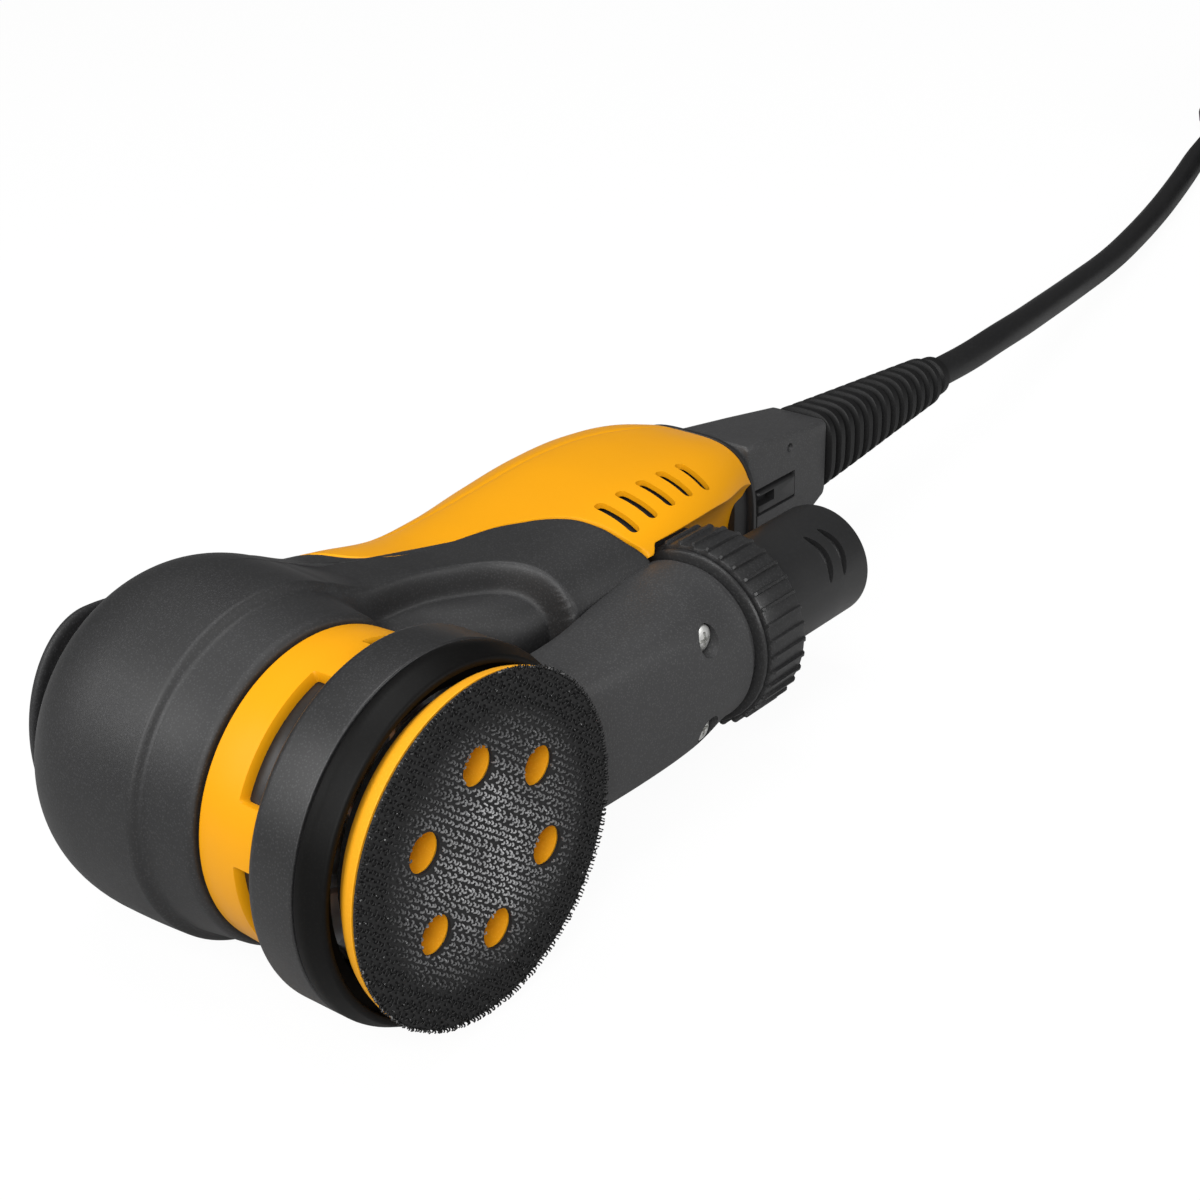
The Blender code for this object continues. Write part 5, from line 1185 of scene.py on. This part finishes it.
class SANDER_OT_inlet(PieceOperator, bpy.types.Operator):
    """Inlet frame, connector with its latch, and strain relief"""

    bl_idname = "sander.inlet"
    bl_label = "Mains connector"

    def make(self):
        t = np.arange(96) * TURN / 96
        rows = []
        for x, drawn in ((157.4, 4.0), (157.6, 3.2), (162.3, 2.4), (162.35, 0.9), (162.6, 0.4), (163.7, 0.4),
                         (164.1, 0.8), (164.3, 1.6)):
            radius = neck_radius(np.full_like(t, HANDLE_END), t) - drawn
            rows.append(np.stack((np.full_like(t, x), handle_centre(HANDLE_END) + radius * np.cos(t), radius * np.sin(t)), axis=1))
        add_piece("inlet_surround", mesh_of("inlet", [capped(np.stack(rows))]), FINISHES.smooth_black(), "housing",
                  "black_plastic", "inlet_frame")
        self.connector()
        self.relief()

    def connector(self):
        """Rounded-rectangle sections along x, drawn in at the rear edge, with grooves and a pocket."""
        rows = []
        for x, drawn in ((164.6, 0.6), (165.0, 0.1), (165.4, 0.0), (175.0, 0.0), (184.6, 0.0), (194.0, 0.0), (202.8, 0.0),
                         (203.6, 0.25), (204.1, 0.8), (204.3, 1.5)):
            top, bottom, half, middle = (float(np.interp(x, CONNECTOR[:, 0], CONNECTOR[:, k])) for k in (1, 2, 3, 4))
            low, high = middle - half + drawn, middle + half - drawn
            outline = rounded(((top - drawn, low), (top - drawn, high), (bottom + drawn, high), (bottom + drawn, low)),
                              2.0, 7)
            rows.append(np.column_stack((np.full(len(outline), x), outline)))
        mesh = mesh_of("connector", [capped(np.stack(rows))], 50.0)
        corner = [box((163.0, 46.0, 5.2), (176.5, 52.6, 8.2))]
        cuts = [[box((168.7, 46.0, 2.0), (187.6, 56.0, 10.0))], [box((163.0, 46.0, 8.0), (169.0, 53.0, 10.0))],
                [box((163.0, 46.0, -1.2), (169.6, 53.2, 5.4))], corner,
                [rod(1.7, (184.6, 49.4, 17.2), (184.6, 51.6, 17.2), 28, 1.0)]]
        add_piece("connector_shell", carved(mesh, *cuts, sharp=50.0), FINISHES.hard_grey(), "housing", "black_plastic",
                  "connector_body")
        latch_rows = []
        for y, drawn in ((49.9, 0.6), (50.05, 0.2), (50.4, 0.0), (54.5, 0.0)):
            corners = ((169.0 + drawn, 3.0 + drawn), (186.8 - drawn, 3.0 + drawn), (186.8 - drawn, 9.0 - drawn),
                       (169.0 + drawn, 9.0 - drawn))
            outline = rounded(corners, 0.8, 6)
            latch_rows.append(np.stack((outline[:, 0], np.full(len(outline), y), outline[:, 1]), axis=1))
        tab = carved(mesh_of("latch", [capped(np.stack(latch_rows))]), corner)
        add_piece("latch_tab", tab, FINISHES.smooth_black(), "connector_latch", "black_plastic", "connector_latch")

    def relief(self):
        """Sleeve of superellipse sections, squarish to round, swelling over each of its ribs."""
        steps = 14 * 22
        s = np.linspace(0.0, 1.0, steps + 1)[:, None]
        f = (s * 14.0) % 1.0
        swell = ease(f / 0.12) * ease((0.66 - f) / 0.12) * (s < 0.93) + 0.55 * ease((s - 0.935) / 0.012) * ease((1.0 - s) / 0.01)
        t = np.arange(64) * TURN / 64
        c, q = np.cos(t), np.sin(t)
        half_y = 8.1 + (5.0 - 8.1) * s + 1.9 * swell
        half_z = 9.7 + (5.0 - 9.7) * s + 1.9 * swell
        n = 3.2 + (2.0 - 3.2) * s
        x = RELIEF_X[0] + (RELIEF_X[1] - RELIEF_X[0]) * s + 0.0 * t
        y = RELIEF_Y + half_y * np.sign(c) * np.abs(c) ** (2.0 / n)
        z = RELIEF_Z[0] + (RELIEF_Z[1] - RELIEF_Z[0]) * ease(s) + half_z * np.sign(q) * np.abs(q) ** (2.0 / n)
        add_piece("relief_sleeve", mesh_of("relief", [capped(np.stack((x, y, z), axis=-1))], 45.0), FINISHES.rubber(),
                  "housing", "rubber", "strain_relief")


class SANDER_OT_lead(PieceOperator, bpy.types.Operator):
    """Mains lead with its coil, tie and plug"""

    bl_idname = "sander.lead"
    bl_label = "Mains lead"

    def make(self):
        loops = self.coil()
        exit_point = to_world((RELIEF_X[1], RELIEF_Y, RELIEF_Z[1]))
        into = (loops[0] - loops[1]) / np.linalg.norm(loops[0] - loops[1])
        gap = 0.0003
        lead = self.smooth([exit_point + AXIS_X * gap, exit_point + AXIS_X * 2 * CORD_D, *map(np.array, CORD_ROUTE),
                            loops[0] + into * 2.5 * CORD_D, loops[0] + into * gap])
        out = (loops[-1] - loops[-2]) / np.linalg.norm(loops[-1] - loops[-2])
        tail = self.smooth([loops[-1] + out * gap, loops[-1] + out * 2.5 * CORD_D, *map(np.array, TAIL_ROUTE)])
        path = np.vstack((lead, loops, tail))
        fine = self.fine(path)
        rubber = FINISHES.plastic("lead_rubber", (0.008, 0.008, 0.0084), (0.012, 0.012, 0.0126), 0.46, 900.0, 0.12, 0.0, 0.07, 0.36)
        cord = add_piece("mains_lead", self.tube(fine), rubber, "housing", "rubber", "cord_lead", "cord_coil", "cord_tail")
        plug, pins = self.plug(tail)
        tie = self.tie()

    def coil(self):
        """Loops whose radius runs in and out layer by layer and whose height climbs at each reversal."""
        turns = np.arange(int(COIL_TURNS * 24) + 1) / 24
        per_layer = COIL_TURNS / COIL_LAYERS
        span = per_layer * COIL_STEP
        radius = COIL_MEAN_R + span * (np.abs((turns / per_layer) % 2.0 - 1.0) - 0.5)
        layer = sum(ease((turns - k * per_layer) / COIL_RISE + 0.5) for k in range(1, COIL_LAYERS))
        a = np.pi / 2 - turns * TURN
        path = np.stack((COIL_CENTRE[0] + radius * np.cos(a), COIL_CENTRE[1] + radius * np.sin(a),
                         COIL_LIFT + CORD_D / 2 + layer * COIL_STEP), axis=1)
        ends = [path[i] + self.level(path[i] - path[j]) for i, j in ((0, 1), (-1, -2))]
        return np.vstack((ends[0], path, ends[1]))

    def level(self, run):
        flat = np.array((run[0], run[1], 0.0))
        return flat / np.linalg.norm(flat) * CORD_D

    def smooth(self, points):
        """Catmull-Rom curve through the points, read at an even spacing of 2.2 diameters."""
        path = np.array(points)
        ends = np.vstack((2 * path[0] - path[1], path, 2 * path[-1] - path[-2]))
        t = np.linspace(0.0, 1.0, 24, endpoint=False)[:, None]
        runs = [0.5 * (2 * b + (c - a) * t + (2 * a - 5 * b + 4 * c - d) * t ** 2 + (3 * b - a - 3 * c + d) * t ** 3)
                for a, b, c, d in zip(ends, ends[1:], ends[2:], ends[3:])]
        fine = np.vstack(runs + [path[-1:]])
        along = np.concatenate(([0.0], np.cumsum(np.linalg.norm(np.diff(fine, axis=0), axis=1))))
        marks = np.linspace(0.0, along[-1], max(2, int(round(along[-1] / (2.2 * CORD_D)))) + 1)
        return np.stack([np.interp(marks, along, fine[:, k]) for k in range(3)], axis=1)

    def fine(self, path):
        """Same line with each point's neighbours joined by a cubic, four steps a run."""
        keep = np.concatenate(([True], np.linalg.norm(np.diff(path, axis=0), axis=1) > 0.001))
        path = path[keep]
        ends = np.vstack((2 * path[0] - path[1], path, 2 * path[-1] - path[-2]))
        t = np.linspace(0.0, 1.0, 4, endpoint=False)[None, :, None]
        a, b, c, d = (ends[k:len(ends) - 3 + k][:, None] for k in range(4))
        runs = 0.5 * (2 * b + (c - a) * t + (2 * a - 5 * b + 4 * c - d) * t ** 2 + (3 * b - a - 3 * c + d) * t ** 3)
        return np.vstack((runs.reshape(-1, 3), path[-1:]))

    def tube(self, path):
        """Round tube p(s) + r (cos q N + sin q B), with N level and B across it."""
        run = np.gradient(path, axis=0)
        run /= np.linalg.norm(run, axis=1)[:, None]
        side = np.cross(run, (0.0, 0.0, 1.0))
        side /= np.linalg.norm(side, axis=1)[:, None]
        up = np.cross(side, run)
        q = (np.arange(20) * TURN / 20)[None, :, None]
        rings = path[:, None] + CORD_D / 2 * (np.cos(q) * side[:, None] + np.sin(q) * up[:, None])
        return mesh_of("lead", [capped(rings)], 50.0, world=True)

    def plug(self, tail):
        """Turned body along the tail's last run, a ribbed neck, and two round pins."""
        run = (tail[-1] - tail[-2]) / np.linalg.norm(tail[-1] - tail[-2])
        side = np.cross(run, (0.0, 0.0, 1.0))
        side /= np.linalg.norm(side)
        base = tail[-1] + run * 0.0003
        frame3 = np.stack((side, run, np.cross(side, run)))
        s = np.linspace(0.0, 15.0, 61)
        neck = np.stack((6.0 + s / 15.0 + 0.45 * np.cos(s / 15.0 * 6 * TURN), s), axis=1)
        body = rounded(((7.0, 15.5), (9.0, 17.5), (14.4, 20.1), (18.0, 31.3), (18.0, 47.3), (16.9, 50.0), (0.0, 50.0)),
                       (1, 2, 4, 6, 2, 1.5, 0), 8, False)
        profile = np.vstack(((0.0, 0.0), neck, body))
        points, faces = turned(profile, 72, False)
        mesh = mesh_of("plug", [(base + MM * points @ frame3, faces)], 50.0, world=True)
        plug = add_piece("plug_body", mesh, FINISHES.black(), "housing", "black_plastic", "mains_plug")
        shape = rounded(((0.0, 47.0), (2.4, 47.0), (2.4, 69.0), (0.0, 69.0)), (0, 0.1, 1.6, 0), 7, False)
        patches = []
        for x in (-9.5, 9.5):
            points, faces = turned(shape, 32, False, x)
            patches.append((base + MM * points @ frame3, faces))
        pins = add_piece("plug_pins", mesh_of("pins", patches, world=True), FINISHES.steel(), "housing", "steel")
        return plug, pins

    def tie(self):
        """Strap round the bundle: rounded outline in x and z, drawn out along y with soft edges."""
        span = COIL_TURNS / COIL_LAYERS * COIL_STEP / 2 + CORD_D / 2 + 0.0003
        middle = COIL_CENTRE[0] + COIL_MEAN_R
        low, high = 0.0015, 0.0399
        rows = []
        for y, out in ((-0.0060, 0.0), (-0.0060, 0.0007), (-0.0056, 0.0010), (0.0056, 0.0010), (0.0060, 0.0007), (0.0060, 0.0)):
            outline = rounded(((middle - span - out, low - out), (middle + span + out, low - out),
                               (middle + span + out, high + out), (middle - span - out, high + out)), 0.004, 7)
            rows.append(np.stack((outline[:, 0], np.full(len(outline), COIL_CENTRE[1] + y), outline[:, 1]), axis=1))
        grid = np.stack(rows)
        points, faces = patch(grid, True, True)
        mesh = mesh_of("tie", [(points, faces)], 50.0, world=True)
        strap = FINISHES.plastic("strap_fabric", (0.018, 0.018, 0.020), (0.040, 0.040, 0.042), 0.85, 1600.0, 0.6, 0.0, 0.05)
        return add_piece("coil_strap", mesh, strap, "housing", "rubber", "coil_tie")


class SANDER_OT_inner(PieceOperator, bpy.types.Operator):
    """Finishes of the inner pieces that keep their CAD form"""

    bl_idname = "sander.inner"
    bl_label = "Inner pieces"

    def make(self):
        sheet = FINISHES.banded("lamination_sheets", (0.34, 0.34, 0.35), (0.20, 0.20, 0.21), 900.0)
        wire = FINISHES.banded("copper_wire", (0.72, 0.32, 0.13), (0.42, 0.16, 0.06), 700.0, "RINGS", 1.0, 0.35)
        board = FINISHES.banded("board_tracks", (0.015, 0.14, 0.05), (0.03, 0.22, 0.08), 260.0, "RINGS", 0.0, 0.4)
        finishes = {
            FINISHES.steel(): ("spindle", "pad_bearing", "pad_bolt", "lower_bearing", "upper_bearing", "lever_pin",
                               "lever_spring"),
            FINISHES.aluminium(): ("dust_fan", "bearing_plate", "filter_capacitor"),
            FINISHES.black(): ("cooling_fan", "motor_can", "pad_plate"),
            sheet: ("rotor_core", "stator_core"),
            wire: ("upper_windings", "lower_windings"),
            board: ("control_board",),
        }
        for finish, names in finishes.items():
            for name in names:
                mesh = frame["nodes"][name].data
                mesh.materials.clear()
                mesh.materials.append(finish)


class SANDER_OT_stage(PieceOperator, bpy.types.Operator):
    """White floor, soft light and camera"""

    bl_idname = "sander.stage"
    bl_label = "Stage"

    def make(self):
        scene = bpy.context.scene
        scene.view_settings.view_transform = "Standard"
        self.floor()
        self.world(scene)
        self.area("key_light", (-0.95, -0.65, 0.85), (0.0, 0.0, 0.03), 0.9, look().key_power)
        self.area("fill_light", (-0.9, 0.55, 0.8), (-0.05, 0.0, 0.03), 0.8, 0.45 * look().key_power)
        self.area("pad_light", (0.35, -1.1, 0.55), (-0.08, -0.03, 0.03), 0.4, 0.3 * look().key_power)
        self.area("top_light", (0.05, 0.05, 1.25), (0.0, 0.0, 0.03), 0.9, look().top_power)
        lens = bpy.data.cameras.new("camera")
        lens.lens = LENS
        lens.sensor_width = 36.0
        lens.clip_start = 0.01
        camera = bpy.data.objects.new("camera", lens)
        scene.collection.objects.link(camera)
        turn = Matrix((CAMERA_RIGHT, [-v for v in CAMERA_DOWN], [-v for v in CAMERA_FORWARD])).transposed()
        camera.matrix_world = Matrix.Translation(CAMERA_AT) @ turn.to_4x4()
        scene.camera = camera

    def floor(self):
        """Wide flat grid of points at height 0, white to the camera save for part of its shadow."""
        u = np.linspace(-6.0, 6.0, 25)
        x, y = np.meshgrid(u, u, indexing="ij")
        points, faces = patch(np.stack((x, y, np.full_like(x, -0.0002)), axis=-1))
        mesh = bpy.data.meshes.new("floor")
        mesh.from_pydata(points.tolist(), [], faces[:, ::-1].tolist())
        obj = bpy.data.objects.new("floor", mesh)
        bpy.context.scene.collection.objects.link(obj)
        material = bpy.data.materials.new("white_floor")
        material.use_nodes = True
        tree = material.node_tree
        shader = tree.nodes["Principled BSDF"]
        shader.inputs["Base Color"].default_value = (0.4, 0.4, 0.4, 1.0)
        shader.inputs["Roughness"].default_value = 0.9
        shader.inputs["Specular IOR Level"].default_value = 0.1
        glow = node(tree, "Emission", {"Color": (1.0, 1.0, 1.0, 1.0), "Strength": 1.08})
        path = node(tree, "LightPath")
        mix = node(tree, "MixShader")
        tree.links.new(math_node(tree, "MULTIPLY", path.outputs["Is Camera Ray"], 0.88), mix.inputs[0])
        tree.links.new(shader.outputs[0], mix.inputs[1])
        tree.links.new(glow.outputs[0], mix.inputs[2])
        tree.links.new(mix.outputs[0], tree.nodes["Material Output"].inputs["Surface"])
        mesh.materials.append(material)

    def world(self, scene):
        world = bpy.data.worlds.new("room")
        world.use_nodes = True
        tree = world.node_tree
        shade = tree.nodes["Background"]
        shade.inputs["Color"].default_value = (1.0, 1.0, 1.0, 1.0)
        path = node(tree, "LightPath")
        tree.links.new(remap(tree, path.outputs["Is Camera Ray"], 0.0, 1.0, look().room, 1.0),
                       shade.inputs["Strength"])
        scene.world = world

    def area(self, name, at, towards, size, power):
        light = bpy.data.lights.new(name, "AREA")
        light.shape = "DISK"
        light.size = size
        light.energy = power
        obj = bpy.data.objects.new(name, light)
        obj.location = at
        obj.rotation_euler = (Vector(towards) - Vector(at)).to_track_quat("-Z", "Y").to_euler()
        bpy.context.scene.collection.objects.link(obj)


OPERATORS = (SANDER_OT_stage, SANDER_OT_lead, SANDER_OT_pad, SANDER_OT_shroud, SANDER_OT_grip, SANDER_OT_handle,
             SANDER_OT_lever, SANDER_OT_buttons, SANDER_OT_tail, SANDER_OT_inlet, SANDER_OT_inner)


class SANDER_PT_panel(bpy.types.Panel):
    """Lists the sander's settings and its pieces"""

    bl_label = "Random Orbital Sander"
    bl_idname = "SANDER_PT_panel"
    bl_space_type = "VIEW_3D"
    bl_region_type = "UI"
    bl_category = "Sander"

    def draw(self, context):
        for name in SanderLook.__annotations__:
            self.layout.prop(context.scene.sander_look, name)
        for operator in OPERATORS:
            self.layout.operator(operator.bl_idname)


CLASSES = (SanderLook, *OPERATORS, SANDER_PT_panel)


def register():
    for cls in CLASSES:
        bpy.utils.register_class(cls)
    bpy.types.Scene.sander_look = PointerProperty(type=SanderLook)


def unregister():
    del bpy.types.Scene.sander_look
    for cls in reversed(CLASSES):
        bpy.utils.unregister_class(cls)


def main():
    register()
    for operator in OPERATORS:
        group, name = operator.bl_idname.split(".")
        getattr(getattr(bpy.ops, group), name)()
    bpy.context.view_layer.update()


if __name__ == "__main__":
    main()
